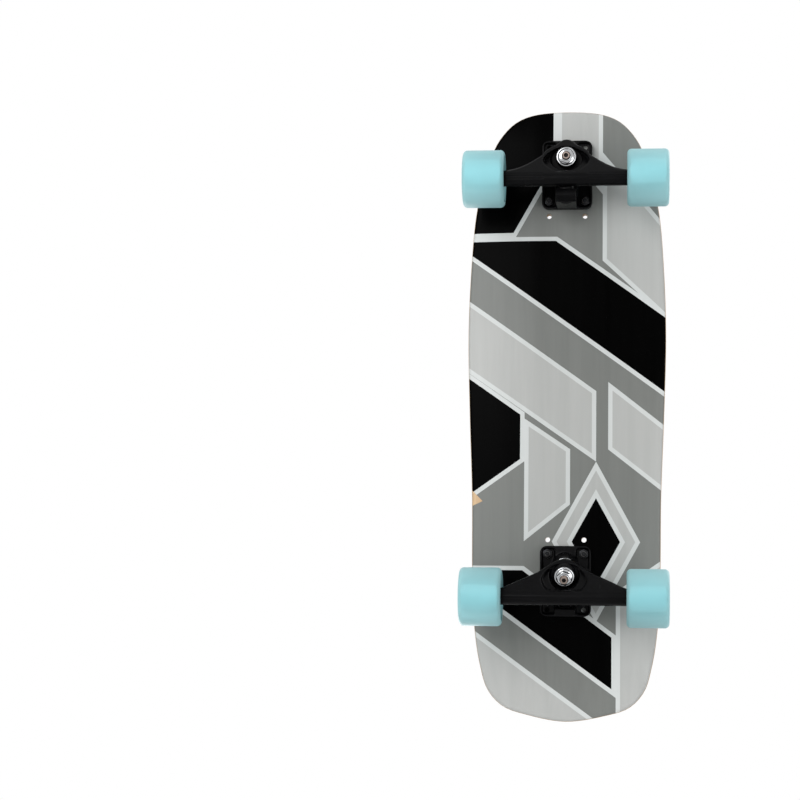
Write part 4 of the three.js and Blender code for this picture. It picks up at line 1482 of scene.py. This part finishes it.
@dataclass
class Truck:
    """One truck: baseplate, pivot cup, kingpin stack and hanger."""

    shape: TruckShape
    ride_height: float = 0.062
    tube_radius: float = 0.0087
    plate_width: float = 0.058
    plate_length: float = 0.080
    plate_shift: float = 0.004
    plate_thickness: float = 0.009
    plate_corner: float = 0.008
    hole_place: Point2 = (0.02065, 0.027)
    hole_radius: float = 0.0029
    spare_hole_shift: float = 0.0095
    pocket_ceiling: float = 0.005
    pocket_length: float = 0.026
    pocket_corner: float = 0.003
    spine_width: float = 0.024
    rim_width: float = 0.0026
    rib_width: float = 0.0032
    boss_radius: float = 0.0135
    boss_flare: float = 1.08
    housing_width: float = 0.023
    housing_radius: float = 0.0105
    housing_wall: float = 0.002
    ring_thickness: float = 0.008
    ring_bore: float = 0.008
    ring_chamfer: float = 0.001
    ring_reach: float = 0.02
    bushing_seat: float = 0.0015
    swing_room: float = 0.0035
    barrel: Bushing = Bushing(0.0108, 0.0124, 0.0112, barrel=True)
    cone: Bushing = Bushing(0.0126, 0.0122, 0.0094, barrel=False)
    free_end: float = 0.0008
    washer_thickness: float = 0.002
    washer_rim: float = 0.0012
    washer_heel: float = 0.0002
    washer_soft: float = 0.0013
    washer_edge: float = 0.0004
    washer_wall: float = 0.0009
    washer_floor_inset: float = 0.0017
    washer_seat: tuple[Point2, ...] = ((0.0032, 0.00015), (0.0036, 0.0005))
    washer_hollow: tuple[Point2, ...] = ((0.0026, 0.0006), (0.0022, 0.0003))
    roadside_washer_radius: float = 0.0115
    boardside_washer_radius: float = 0.0134
    kingpin_tip: float = 0.0034
    kingpin_head: Point2 = (0.014, 0.006)
    kingpin_chamfer: float = 0.0008
    shank_lap: float = 0.0005
    nut_twist: float = 0.35
    socket_width: float = 0.0048
    socket_depth: float = 0.004
    cup_radius: float = 0.0075
    cup_depth: float = 0.008
    cup_floor: float = 0.0014
    cup_edge: float = 0.001
    pivot_mouth: float = 0.001
    tip_radius: float = 0.0044
    stem_radius: float = 0.0058
    root_radius: float = 0.0086
    stem_reach: float = 0.034
    gusset_width: float = 0.014
    gusset_clearance: float = 0.0026
    recess_sharpness: float = 1.3
    groove_radius: float = 0.0009
    groove_places: Point2 = (0.0048, -0.0012)
    groove_sink: float = 0.0002
    groove_start: float = 0.9
    groove_end_room: float = 0.004
    drill_room: float = 0.0002
    axle_drill: float = 0.1
    deck_block: Point3 = (0.09, 0.12, 0.01)
    deck_block_height: float = 0.03
    cup_drill: float = 0.006
    voxel: float = 0.00075
    hanger_rounds: int = 5
    plate_rounds: int = 4
    kept_faces: float = 0.6

    @property
    def to_row(self) -> Matrix:
        """Places the truck's frame, which lies at the middle of its axle."""
        return shift(0, self.shape.axle_y, AXLE_HEIGHT)

    @property
    def kingpin(self) -> Matrix:
        """Places the kingpin's frame: Z runs along it from the middle of the hanger's ring."""
        shape = self.shape
        return shift(0, shape.ring_ahead, shape.ring_above) @ turned(-math.radians(shape.lean), "X")

    @property
    def pivot(self) -> Matrix:
        """Places the pivot's frame: Z runs along the steering axis, up to the ring."""
        shape = self.shape
        tilt = math.atan2(shape.ring_ahead + shape.pivot_behind, shape.ring_above - shape.pivot_above)
        return shift(0, -shape.pivot_behind, shape.pivot_above) @ turned(-tilt, "X")

    @property
    def levels(self) -> dict[str, float]:
        """Stacks the pieces on the kingpin.

        Returns:
            Where each starts along the kingpin.
        """
        barrel = self.ring_thickness / 2 - self.bushing_seat + PLAY
        upper = barrel + self.barrel.height + PLAY
        cone = -self.ring_thickness / 2 - PLAY - self.cone.height
        lower = cone - PLAY - self.washer_thickness
        nut = lower - PLAY
        lean = math.radians(self.shape.lean)
        head_radius = self.kingpin_head[0] / math.sqrt(3)
        head = ((self.ride_height - self.shape.ring_above) / math.cos(lean)
                - head_radius * abs(math.tan(lean)) - 2 * PLAY)
        tip = nut - KINGPIN_NUT.height - KINGPIN_NUT.collar_height - self.kingpin_tip
        return {"barrel": barrel, "upper": upper, "boss": upper + self.washer_thickness + PLAY, "cone": cone,
                "lower": lower, "nut": nut, "head": head, "tip": tip}

    def beside_pivot(self, along: float, below: float) -> Point2:
        """Gives [y, z] of a point along the steering axis and square to it."""
        point = self.pivot @ Vector((0, below, along))
        return point.y, point.z

    # Hanger

    def arm_share(self, share: float) -> Point2:
        """Runs a smooth curve through the arm's shares.

        Args:
            share: how far along the curve.

        Returns:
            The share of the tube's half length and the share of the web's reach.
        """
        points = self.shape.arm_shares
        place = share * (len(points) - 1)
        k = min(int(place), len(points) - 2)
        t = place - k
        quad = [points[max(0, min(len(points) - 1, k + j - 1))] for j in range(4)]
        along, reach = (b + 0.5 * t * (c - a + t * (2 * a - 5 * b + 4 * c - d + t * (3 * (b - c) + d - a)))
                        for a, b, c, d in zip(*quad))
        return along, min(1.0, max(0.0, reach))

    def arm_section(self, x: float, share: float) -> list[Vector]:
        """Wraps the tube and the web's outer edge in one tight section.

        Args:
            x: the place along the tube.
            share: the share of the web's reach.

        Returns:
            The section's points.
        """
        shape = self.shape
        edge_y, edge_z = share * (shape.apex_reach - shape.apex_radius), share * shape.apex_height
        radius = lerp(self.tube_radius, shape.apex_radius, share)
        row = []
        for angle in turns(ARM_SIDES):
            y, z = math.cos(angle), math.sin(angle)
            if edge_y * y + edge_z * z + radius > self.tube_radius:
                row.append(Vector((x, edge_y + radius * y, edge_z + radius * z)))
            else:
                row.append(Vector((x, self.tube_radius * y, self.tube_radius * z)))
        return row

    def arms(self, steps: int = 30) -> Shape:
        """Lofts the web from one end of the tube to the other.

        Args:
            steps: sections on each side.

        Returns:
            The arms.
        """
        rows = []
        for k in range(-steps, steps + 1):
            along, reach = self.arm_share(abs(k) / steps)
            rows.append(self.arm_section(math.copysign(along, k) * TUBE_HALF if k else 0.0, reach))
        return loft("arms", rows)

    def web_slab(self, low: float, high: float) -> Shape:
        """Fills a slab that is parallel to the arms' lower faces.

        Args:
            low: where it starts, measured from those faces into the web.
            high: where it ends.

        Returns:
            The slab.
        """
        shape, radius = self.shape, self.tube_radius
        reach = shape.apex_reach - shape.apex_radius
        span = math.hypot(reach, shape.apex_height)
        tilt = math.atan2(shape.apex_height, reach) + math.asin((radius - shape.apex_radius) / span)
        run, rise, far = math.cos(tilt), math.sin(tilt), 2 * shape.apex_reach
        outline = [(radius * rise + along * run - up * rise, -radius * run + along * rise + up * run)
                   for along, up in ((-far, low), (far, low), (far, high), (-far, high))]
        return side_prism("slab", outline, 4 * shape.boss[0])

    def stem(self) -> Shape:
        """Turns the pivot stem about the steering axis.

        Returns:
            The stem.
        """
        tip = self.cup_floor - self.cup_depth + PLAY
        profile = [(0, tip), (self.tip_radius / 2, tip), (self.tip_radius, tip + self.tip_radius / 2),
                   (self.stem_radius, self.pivot_mouth + PLAY),
                   (self.root_radius, self.pivot_mouth + 2 * self.gusset_clearance),
                   (self.root_radius, self.stem_reach), (0, self.stem_reach)]
        return placed(lathe("stem", profile, 48), self.pivot)

    def casting(self) -> Shape:
        """Joins arms, boss, gusset, stem and tube, and cuts the bowl and its recess.

        Returns:
            The hanger before its skin is rounded.
        """
        shape, top = self.shape, self.ring_thickness / 2
        far = shape.ring_above + shape.apex_reach
        boss = placed(prism("boss", oval(*shape.boss, -shape.bowl_setback), -far, top), self.kingpin)
        carve(boss, Cut.KEEP, self.web_slab(0.0, far))
        half, start = self.tube_radius / 2, self.pivot_mouth + self.gusset_clearance
        gusset = side_prism("gusset", [
            (-half, half), (half, half), self.beside_pivot(self.stem_reach, 0), self.beside_pivot(start, 0),
            self.beside_pivot(start, self.stem_radius)], self.gusset_width)
        hanger = carve(self.arms(), Cut.ADD, boss, gusset, self.stem())
        bowl = prism("bowl", oval(*shape.bowl, -shape.bowl_setback), -far - PAST, -top)
        swing = cylinder("swing", self.barrel.radius + self.swing_room, top, 3 * self.barrel.height, 64)
        almond = oval(*shape.recess, -shape.recess_setback, self.recess_sharpness)
        recess = prism("recess", almond, -far - PAST, -top)
        carve(placed(recess, self.kingpin), Cut.KEEP, self.web_slab(-far, shape.recess_depth))
        carve(hanger, Cut.TAKE, placed(bowl, self.kingpin), placed(swing, self.kingpin), recess)
        tube = cylinder("tube", self.tube_radius, -TUBE_HALF, TUBE_HALF, 64)
        return carve(hanger, Cut.ADD, placed(tube, ACROSS))

    def build_hanger(self) -> None:
        """Builds the hanger as one casting and drills it."""
        shape, top, bore = self.shape, self.ring_thickness / 2, self.ring_bore
        hanger = self.casting()
        for y in self.groove_places:
            depth = math.sqrt(self.tube_radius ** 2 - y ** 2)
            for side in (-1, 1):
                groove = cylinder("groove", self.groove_radius, side * shape.boss[0] * self.groove_start,
                                  side * (TUBE_HALF - self.groove_end_room), 16)
                carve(hanger, Cut.TAKE, placed(groove, ACROSS, shift(0, y, -depth - self.groove_sink)))
        hanger.name = f"{shape.name}_cast_hanger"
        cast_skin(hanger, self.voxel, self.hanger_rounds, self.kept_faces)
        seat, reach = self.barrel.radius + PLAY, self.ring_reach
        ring = lathe("ring", [
            (0, -reach), (bore + self.ring_chamfer, -reach), (bore + self.ring_chamfer, -top),
            (bore, -top + self.ring_chamfer), (bore, top - self.bushing_seat),
            (seat, top - self.bushing_seat), (seat, reach), (0, reach)], 64)
        axle = cylinder("axle", AXLE_RADIUS + self.drill_room, -self.axle_drill, self.axle_drill, 40)
        carve(hanger, Cut.TAKE, placed(ring, self.kingpin), placed(axle, ACROSS))
        soften(placed(hanger, self.to_row), CAST_EDGE)
        ride(dress(hanger, CAST_BLACK), f"{shape.name}_hanger_body", "truck_metal", f"{shape.name}_hanger")

    # Baseplate

    def plate(self, bottom: float, ceiling: float, top: float, centre: float) -> Shape:
        """Raises the baseplate's slab and cuts the pockets between its rim and ribs.

        Args:
            bottom: the height of its lower face.
            ceiling: the height of the pockets' floor.
            top: the height of the face against the deck.
            centre: its middle along Y.

        Returns:
            The slab.
        """
        outline = rounded_rectangle(self.plate_width, self.plate_length, self.plate_corner)
        plate = placed(prism("plate", outline, bottom, top), shift(0, centre))
        width = (self.plate_width - self.spine_width) / 2 - self.rim_width
        corner_y = self.plate_length / 2 - self.rim_width - self.pocket_length / 2
        middle = 2 * corner_y - self.pocket_length - 2 * self.rib_width
        for side in (-1, 1):
            x = side * ((self.spine_width + width) / 2)
            for y, length in ((corner_y, self.pocket_length), (-corner_y, self.pocket_length), (0, middle)):
                pocket = prism("pocket", rounded_rectangle(width, length, self.pocket_corner, 4),
                               bottom - PAST, ceiling)
                carve(plate, Cut.TAKE, placed(pocket, shift(x, centre + y)))
        return plate

    def build_baseplate(self) -> None:
        """Builds the baseplate as one casting and drills it."""
        shape, levels = self.shape, self.levels
        top = self.ride_height - PLAY
        bottom, ceiling = top - self.plate_thickness, top - self.pocket_ceiling
        centre = shape.setback + shape.outward * self.plate_shift
        plate = self.plate(bottom, ceiling, top, centre)
        radius = self.housing_radius
        spots = ((-(self.cup_depth + self.housing_wall), 0), (-self.cup_depth, radius),
                 (self.pivot_mouth, radius), (self.pivot_mouth, -radius))
        housing = side_prism("housing", [
            (-shape.housing_setback, ceiling), *(self.beside_pivot(*spot) for spot in spots),
            (-shape.housing_flare, ceiling)], self.housing_width)
        boss = lathe("boss", [(0, levels["boss"]), (self.boss_radius, levels["boss"]),
                              (self.boss_radius * self.boss_flare, levels["head"]), (0, levels["head"])], 64)
        carve(plate, Cut.ADD, housing, placed(boss, self.kingpin))
        above = prism("above", rounded_rectangle(*self.deck_block), top, top + self.deck_block_height)
        carve(plate, Cut.TAKE, placed(above, shift(0, centre)))
        plate.name = f"{shape.name}_cast_baseplate"
        cast_skin(plate, self.voxel, self.plate_rounds, self.kept_faces)
        bore, head = KINGPIN_RADIUS + self.drill_room, self.kingpin_head[0] / math.sqrt(3) + PLAY
        low, high = levels["boss"] - FAR_PAST, levels["head"] + FAR_PAST
        step = levels["head"] - self.kingpin_head[1] - PLAY
        shank = lathe("shank", [(0, low), (bore, low), (bore, step), (head, step), (head, high),
                                (0, high)], 48)
        cup = cylinder("cup", self.cup_radius + PLAY, -self.cup_depth - PLAY,
                       self.pivot_mouth + self.cup_drill, 48)
        carve(plate, Cut.TAKE, placed(shank, self.kingpin), placed(cup, self.pivot))
        hole_x, hole_y = self.hole_place
        spare_y = shape.outward * (hole_y + self.spare_hole_shift)
        for x in (-hole_x, hole_x):
            for y in (-hole_y, hole_y, spare_y):
                hole = cylinder("hole", self.hole_radius, bottom - FAR_PAST, top + FAR_PAST, 24)
                carve(plate, Cut.TAKE, placed(hole, shift(x, shape.setback + y)))
        soften(placed(plate, self.to_row), CAST_EDGE)
        ride(dress(plate, CAST_BLACK), "board", "truck_metal", f"{shape.name}_baseplate")

    def build_pivot_cup(self) -> None:
        """Builds the soft cup that the pivot stem turns in."""
        floor, edge, tip = self.cup_floor - self.cup_depth, self.cup_edge, self.tip_radius
        cup = lathe(f"{self.shape.name}_soft_cup", [
            (0, -self.cup_depth), *arc((self.cup_radius - edge, -self.cup_depth + edge), edge, -90, 0, 4),
            (self.cup_radius, self.pivot_mouth), (self.stem_radius + PLAY, self.pivot_mouth),
            (tip + PLAY, floor + tip / 2), (tip / 2, floor), (0, floor)], 48)
        ride(dress(soften(placed(cup, self.pivot, self.to_row)), CUP), "board", "pivot_cup",
             f"{self.shape.name}_pivot_cup")

    # Kingpin stack

    def build_kingpin(self) -> None:
        """Builds the kingpin with its socket, thread and head, and the nut on it."""
        name, levels = self.shape.name, self.levels
        to_row = (self.kingpin, self.to_row)
        tip, thread_top = levels["tip"], levels["cone"] + self.cone.height / 2
        pin = threaded_rod(KINGPIN_RADIUS, COARSE_PITCH, tip, thread_top, self.kingpin_chamfer)
        socket = prism("socket", hexagon(self.socket_width), tip - LAP, tip + self.socket_depth)
        # the socket's walls take the painted shade of the hole
        carve(dress(pin, WARM_STEEL), Cut.TAKE, dress(socket, SOCKET_PAINTED_SHADE), dressed=True)
        width, height = self.kingpin_head
        top = levels["head"]
        shank = cylinder("shank", KINGPIN_RADIUS, thread_top - self.shank_lap, top - height / 2, 40)
        head = prism("head", hexagon(width), top - height, top)
        parts = [pin, dress(shank, BRIGHT_STEEL), dress(head, BRIGHT_STEEL)]
        kingpin = joined(f"{name}_steel_kingpin", parts)
        ride(soften(placed(kingpin, *to_row), STEEL_EDGE), "board", "steel", f"{name}_kingpin")
        nut = placed(KINGPIN_NUT.build(f"{name}_steel_kingpin_nut"), OVER, turned(self.nut_twist, "Z"),
                     shift(z=levels["nut"]), *to_row)
        ride(nut, "board", "steel", f"{name}_kingpin_nut")

    def build_washers(self) -> None:
        """Builds the two cup washers, each open towards its bushing."""
        levels = self.levels
        for side, radius, level, flips in (
                ("roadside", self.roadside_washer_radius, levels["lower"], ()),
                ("boardside", self.boardside_washer_radius, levels["upper"],
                 (OVER, shift(z=self.washer_thickness)))):
            washer = self.cup_washer(f"{self.shape.name}_{side}_cup_washer", radius)
            placed(washer, *flips, shift(z=level), self.kingpin, self.to_row)
            ride(dress(washer, BRIGHT_STEEL), "board", "steel", f"{self.shape.name}_{side}_washer")

    def cup_washer(self, name: str, radius: float) -> Shape:
        """Presses a cup washer with its floor at Z = 0 and its rim upwards.

        Args:
            name: the object's name.
            radius: its outer radius.

        Returns:
            The washer.
        """
        bore, floor, edge = KINGPIN_RADIUS + PLAY, self.washer_thickness, self.washer_edge
        top, heel, soft = floor + self.washer_rim, self.washer_heel, self.washer_soft
        return soften(lathe(name, [
            (bore, 0.0), *((bore + out, up) for out, up in self.washer_seat),
            *((radius - inset, up) for inset, up in self.washer_hollow), (radius - soft - edge, heel),
            *arc((radius - soft, heel + soft), soft, -80, 0, 5),
            *arc((radius - edge, top - edge), edge, 0, 90, 3),
            *arc((radius - self.washer_wall, top - edge), edge, 90, 180, 3), (radius - soft, floor + edge),
            (radius - self.washer_floor_inset, floor), (bore, floor)], 64, closed=True), TURNED_EDGE)

    def build_bushings(self) -> None:
        """Builds both bushings, which sit between the board's side and the hanger's ring."""
        name, levels, free = self.shape.name, self.levels, self.free_end
        for piece, kind, node, span in (
                (self.barrel, "barrel", "boardside", (self.barrel.height - free, self.bushing_seat + free)),
                (self.cone, "cone", "roadside", (free, self.cone.height - free))):
            bushing = lathe(f"{name}_{kind}_bushing", piece.section(KINGPIN_RADIUS + PLAY), 64, closed=True)
            placed(bushing, shift(z=levels[kind]), self.kingpin, self.to_row)
            start, end = (self.to_row @ self.kingpin @ Vector((0, 0, levels[kind] + z)) for z in span)
            bend(dress(soften(bushing, CAST_EDGE), BUSHING), ("board", f"{name}_hanger_body"), start, end,
                 "bushing", f"{name}_{node}_bushing")

    def build(self) -> None:
        """Builds the whole truck but its axle."""
        for make in (self.build_baseplate, self.build_pivot_cup, self.build_kingpin, self.build_washers,
                     self.build_bushings, self.build_hanger):
            make()


# ---------------------------------------------------------------- axles and wheels


@dataclass
class RunningGear:
    """One truck's axle and its two wheels, measured outwards from the middle of the board."""

    end: str
    axle_y: float
    wheel_radius: float = 0.0325
    wheel_width: float = 0.047
    lip_radius: float = 0.005
    shoulder: Point2 = (0.0008, 0.0001)
    face_radius: float = 0.027
    face_drop: float = 0.0014
    core_radius: float = 0.017
    core_width: float = 0.028
    core_shift: float = 0.0033
    core_shoulder: float = 0.0086
    core_soft: float = 0.0006
    bearing_radius: float = 0.011
    bearing_width: float = 0.007
    bearing_soft: float = 0.0004
    outer_wall: float = 0.0016
    race_edge: float = 0.0002
    shield_base: float = 0.0005
    shield_inset: float = 0.0005
    shield_crimp: tuple[Point2, ...] = ((0.0004, 0.0002), (0.0009, -0.0001))
    seal_lip: tuple[Point2, ...] = ((0.001, -0.0001), (0.0005, -0.0003), (0.0, -0.0003))
    race_radius: float = 0.006
    spacer_length: float = 0.010
    spacer_radius: float = 0.0052
    sleeve_room: float = 0.00005
    sleeve_soft: float = 0.0003
    washer_thickness: float = 0.001
    washer_radius: float = 0.0057
    tip: float = 0.0009
    tip_chamfer: float = 0.0007
    nut_twist: float = 0.3
    sides: int = 96

    @property
    def stops(self) -> dict[str, float]:
        """Stacks the pieces on the axle.

        Returns:
            Where each starts along the axle.
        """
        start = TUBE_HALF + PLAY
        inner = start + self.washer_thickness
        spacer = inner + self.bearing_width
        outer = spacer + self.spacer_length
        end = outer + self.bearing_width + self.washer_thickness
        nut = end + PLAY
        tip = nut + AXLE_NUT.height + AXLE_NUT.collar_height + self.tip
        middle = spacer + self.spacer_length / 2
        return {"start": start, "inner": inner, "spacer": spacer, "outer": outer, "end": end, "nut": nut,
                "tip": tip, "face": middle - self.core_shift - self.wheel_width / 2,
                "core_start": middle - self.core_width / 2, "core_end": middle + self.core_width / 2}

    def place(self, piece: Shape, side: int) -> Shape:
        """Turns a piece made along Z out along X, to the left or the right."""
        return placed(piece, turned(side * QUARTER, "Y"), shift(0, self.axle_y, AXLE_HEIGHT))

    def build_axle(self) -> None:
        """Builds the axle with its threads, speed washers, spacers and inner races."""
        stops, soft = self.stops, self.sleeve_soft
        end, bore = stops["end"], AXLE_RADIUS + self.sleeve_room
        edges = (*(stops[name] for name in ("start", "inner", "spacer", "outer")),
                 end - self.washer_thickness, end)
        washer, race, spacer = ((self.washer_radius, BRIGHT_STEEL), (self.race_radius, RACE_STEEL),
                                (self.spacer_radius, BRIGHT_STEEL))
        pieces = [dress(cylinder("rod", AXLE_RADIUS, -end, end, 40), BRIGHT_STEEL)]
        for turn in (turned(math.pi, "Y"), turned(0, "Y")):
            thread = threaded_rod(AXLE_RADIUS, COARSE_PITCH, end - LAP, stops["tip"], self.tip_chamfer)
            pieces.append(dress(placed(thread, turn), BRIGHT_STEEL))
            for low, high, (radius, finish) in zip(edges, edges[1:], (washer, race, spacer, race, washer)):
                sleeve = lathe("sleeve", [(bore, low), (radius - soft, low), (radius, low + soft),
                                          (radius, high - soft), (radius - soft, high), (bore, high)],
                               48, closed=True)
                pieces.append(dress(placed(sleeve, turn), finish))
        axle = soften(joined(f"{self.end}_steel_axle", pieces), STEEL_EDGE)
        ride(self.place(axle, 1), f"{self.end}_hanger_body", "steel", f"{self.end}_axle")

    def tyre(self, name: str) -> Shape:
        """Turns the urethane ring with round lips and dished faces.

        Args:
            name: the object's name.

        Returns:
            The tyre.
        """
        stops, lip, radius = self.stops, self.lip_radius, self.wheel_radius
        low, high = stops["face"], stops["face"] + self.wheel_width
        start, end, bore = stops["core_start"], stops["core_end"], self.core_radius + PLAY
        inset, step = self.shoulder
        return soften(lathe(name, [
            (bore, start), *self.dish(bore, start, low + self.face_drop), (radius - lip - inset, low + step),
            *arc((radius - lip, low + lip), lip, -90, 0, 10),
            *arc((radius - lip, high - lip), lip, 0, 90, 10),
            (radius - lip - inset, high - step), *reversed(self.dish(bore, end, high - self.face_drop)),
            (bore, end)], self.sides, closed=True), TURNED_EDGE)

    def dish(self, radius: float, height: float, rim_height: float) -> list[Point2]:
        """Curves a wheel's face from its core out to its rim."""
        return [(lerp(radius, self.face_radius, k / 10), lerp(height, rim_height, math.sin(QUARTER * k / 10)))
                for k in range(1, 11)]

    def core(self, name: str) -> Shape:
        """Builds the hub that holds both bearings.

        Args:
            name: the object's name.

        Returns:
            The hub.
        """
        stops, soft, radius = self.stops, self.core_soft, self.core_radius
        start, end, seat = stops["core_start"], stops["core_end"], self.bearing_radius + PLAY
        outer, inner = stops["outer"] - PLAY, stops["spacer"] + PLAY
        return soften(lathe(name, [
            (seat, start + soft), (seat + soft, start), (radius - soft, start), (radius, start + soft),
            (radius, end - soft), (radius - soft, end), (seat + soft, end), (seat, end - soft), (seat, outer),
            (self.core_shoulder, outer), (self.core_shoulder, inner), (seat, inner)],
            72, closed=True), PRESSED_EDGE)

    def bearing(self, name: str) -> Shape:
        """Builds the outer race, its pressed shield and a dust seal lip, with the open side upwards.

        Args:
            name: the object's name.

        Returns:
            The bearing.
        """
        width, outer, soft = self.bearing_width, self.bearing_radius, self.bearing_soft
        lip, inner, floor = outer - self.outer_wall, self.race_radius + PLAY, width - self.shield_inset
        race = lathe("race", [
            (lip, 0.0), (outer - soft, 0.0), (outer, soft), (outer, width - soft), (outer - soft, width),
            (lip + self.race_edge, width), (lip, width - self.race_edge)], 64, closed=True)
        shield = lathe("shield", [
            (inner, self.shield_base), (lip, self.shield_base), (lip, floor),
            *((lip - inset, floor + up) for inset, up in self.shield_crimp),
            *((inner + out, floor + up) for out, up in self.seal_lip)], 64, closed=True)
        return soften(joined(name, [dress(race, RACE_STEEL), dress(shield, SHIELD)]), PRESSED_EDGE)

    def build_wheel(self, side: int) -> None:
        """Builds one wheel with its bearings, and the nut that holds it.

        Args:
            side: -1 for the left, 1 for the right.
        """
        stops, where = self.stops, f"{self.end}_{'left' if side < 0 else 'right'}"
        body = f"{where}_wheel"
        tyre = dress(self.tyre(f"{where}_urethane_tyre"), URETHANE)
        ride(self.place(tyre, side), body, "urethane", f"{where}_tyre")
        core = dress(self.core(f"{where}_hub_core"), HUB)
        ride(self.place(core, side), body, "wheel_core", f"{where}_core")
        for spot, stop, flips in (("inner", "spacer", (OVER,)), ("outer", "outer", ())):
            bearing = placed(self.bearing(f"{where}_shielded_{spot}_bearing"), *flips, shift(z=stops[stop]))
            ride(self.place(bearing, side), body, "bearing", f"{where}_{spot}_bearing")
        nut = placed(AXLE_NUT.build(f"{where}_nylon_axle_nut"), turned(self.nut_twist * side, "Z"),
                     shift(z=stops["nut"]))
        ride(self.place(nut, side), f"{self.end}_hanger_body", "steel", f"{where}_axle_nut")

    def build(self) -> None:
        """Builds the axle and both wheels."""
        self.build_axle()
        for side in (-1, 1):
            self.build_wheel(side)


# ---------------------------------------------------------------- stage


@dataclass(frozen=True)
class Lamp:
    """A soft round lamp that points at a height in the middle of the board."""

    name: str
    place: Point3
    aim: float
    size: float
    power: float

    def build(self) -> None:
        """Hangs the lamp."""
        data = bpy.data.lights.new(self.name, "AREA")
        data.shape = "DISK"
        data.size = self.size
        data.energy = self.power
        lamp = linked(self.name, data)
        lamp.location = self.place
        away = Vector(self.place) - Vector((0.0, 0.0, self.aim))
        lamp.rotation_euler = away.to_track_quat("Z", "Y").to_euler()


LAMPS = (
    Lamp("key_below", (0.9, 0.7, -1.9), 0.08, 1.4, 27.0),
    Lamp("fill_below", (-1.4, -0.5, -1.6), 0.08, 1.6, 18.0),
    Lamp("nose_side", (-0.8, 2.1, -0.7), 0.05, 1.1, 9.0),
    Lamp("key_above", (0.9, -1.2, 2.2), 0.05, 1.6, 26.0),
    Lamp("fill_above", (-1.5, 0.9, 1.7), 0.05, 1.8, 15.0),
)


@dataclass
class Stage:
    """The camera below the board, the pale floor that is open from below, and the room's light."""

    camera_place: Point3 = (-0.0665, -0.2218, -2.2795)
    looks_at: Point3 = (0.19225, 0.01399, 0.0945)
    lens: float = 93.18
    sensor: float = 36.0
    sight: float = 50.0
    roll: float = 0.0123
    floor_size: float = 8.0
    floor_tone: Colour = (0.82, 0.82, 0.82)
    floor_roughness: float = 0.9
    floor_specular: float = 0.1
    floor_glow: float = 0.42
    fade_span: Point2 = (0.5, 1.6)
    room_level: float = 0.48

    def build_camera(self) -> None:
        """Places the camera, with the nose up in the picture."""
        data = bpy.data.cameras.new("view")
        data.lens, data.sensor_width, data.clip_end = self.lens, self.sensor, self.sight
        camera = linked("view", data)
        place = Vector(self.camera_place)
        back = (place - Vector(self.looks_at)).normalized()
        right = Vector((0.0, 1.0, 0.0)).cross(back).normalized()
        right = right.lerp(back.cross(right), self.roll).normalized()
        camera.matrix_world = Matrix((*zip(right, back.cross(right), back, place), (0, 0, 0, 1)))
        bpy.context.scene.camera = camera

    def build_room(self) -> None:
        """Fills the room with even pale light, white where the camera or a mirror sees it."""
        world = bpy.data.worlds.new("room")
        world.use_nodes = True
        bpy.context.scene.world = world
        graph, background = Graph(world.node_tree), world.node_tree.nodes["Background"]
        graph.feed(background.inputs["Color"], (1.0, 1.0, 1.0))
        path = graph.add("LightPath").outputs
        seen = graph.math("MAXIMUM", path["Is Camera Ray"], path["Is Transmission Ray"])
        seen = graph.math("MAXIMUM", seen, path["Is Glossy Ray"])
        graph.feed(background.inputs["Strength"], graph.ramp(seen, (0.0, 1.0), (self.room_level, 1.0)))

    def build_floor(self) -> None:
        """Lays the floor, which only shows from above and lets lamps and mirrors through."""
        mesh = bmesh.new()
        bmesh.ops.create_grid(mesh, x_segments=8, y_segments=8, size=self.floor_size / 2)
        floor = to_object("floor", mesh)
        if floor.data.polygons[0].normal.z < 0:
            floor.data.flip_normals()
        material = bpy.data.materials.new("pale_floor")
        material.use_nodes = True
        graph, nodes = Graph(material.node_tree), material.node_tree.nodes
        shader = nodes["Principled BSDF"]
        looks = {"Base Color": self.floor_tone, "Roughness": self.floor_roughness,
                 "Specular IOR Level": self.floor_specular}
        for name, value in looks.items():
            graph.feed(shader.inputs[name], value)
        path, side = graph.add("LightPath").outputs, graph.add("NewGeometry").outputs
        away = graph.add("VectorMath", {0: graph.add("TexCoord").outputs["Object"]}, operation="LENGTH")
        fade = graph.ramp(away.outputs["Value"], self.fade_span, (self.floor_glow, 1.0), smooth=True)
        glow = graph.add("Emission", {"Strength": 1.0})
        lit = graph.add("MixShader", {"Fac": graph.math("MULTIPLY", path["Is Camera Ray"], fade),
                                      1: shader.outputs[0], 2: glow.outputs[0]})
        through = graph.math("MAXIMUM", side["Backfacing"], path["Is Shadow Ray"])
        through = graph.math("MAXIMUM", through, path["Is Glossy Ray"])
        clear = graph.add("BsdfTransparent")
        mix = graph.add("MixShader", {"Fac": through, 1: lit.outputs[0], 2: clear.outputs[0]})
        graph.feed(nodes["Material Output"].inputs["Surface"], mix.outputs[0])
        floor.data.materials.append(material)

    def build(self) -> None:
        """Builds the camera, the light and the floor."""
        self.build_camera()
        for lamp in LAMPS:
            lamp.build()
        self.build_room()
        self.build_floor()
        bpy.context.scene.view_settings.view_transform = "Standard"


def corners(box: Sequence[Vector]) -> list[list[float]]:
    """Turns a box's two corners into plain lists."""
    return [[float(c) for c in corner] for corner in box]


def main() -> None:
    """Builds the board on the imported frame, piece by piece."""
    logging.basicConfig(level=logging.INFO, format="%(name)s: %(message)s")
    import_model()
    Effects().build()
    Stage().build()
    deck = Deck(Laminate())
    deck.build()
    DeckHardware(deck).build()
    for shape in (FRONT, REAR):
        Truck(shape).build()
        RunningGear(shape.name, shape.axle_y).build()


if __name__ == "__main__":
    main()
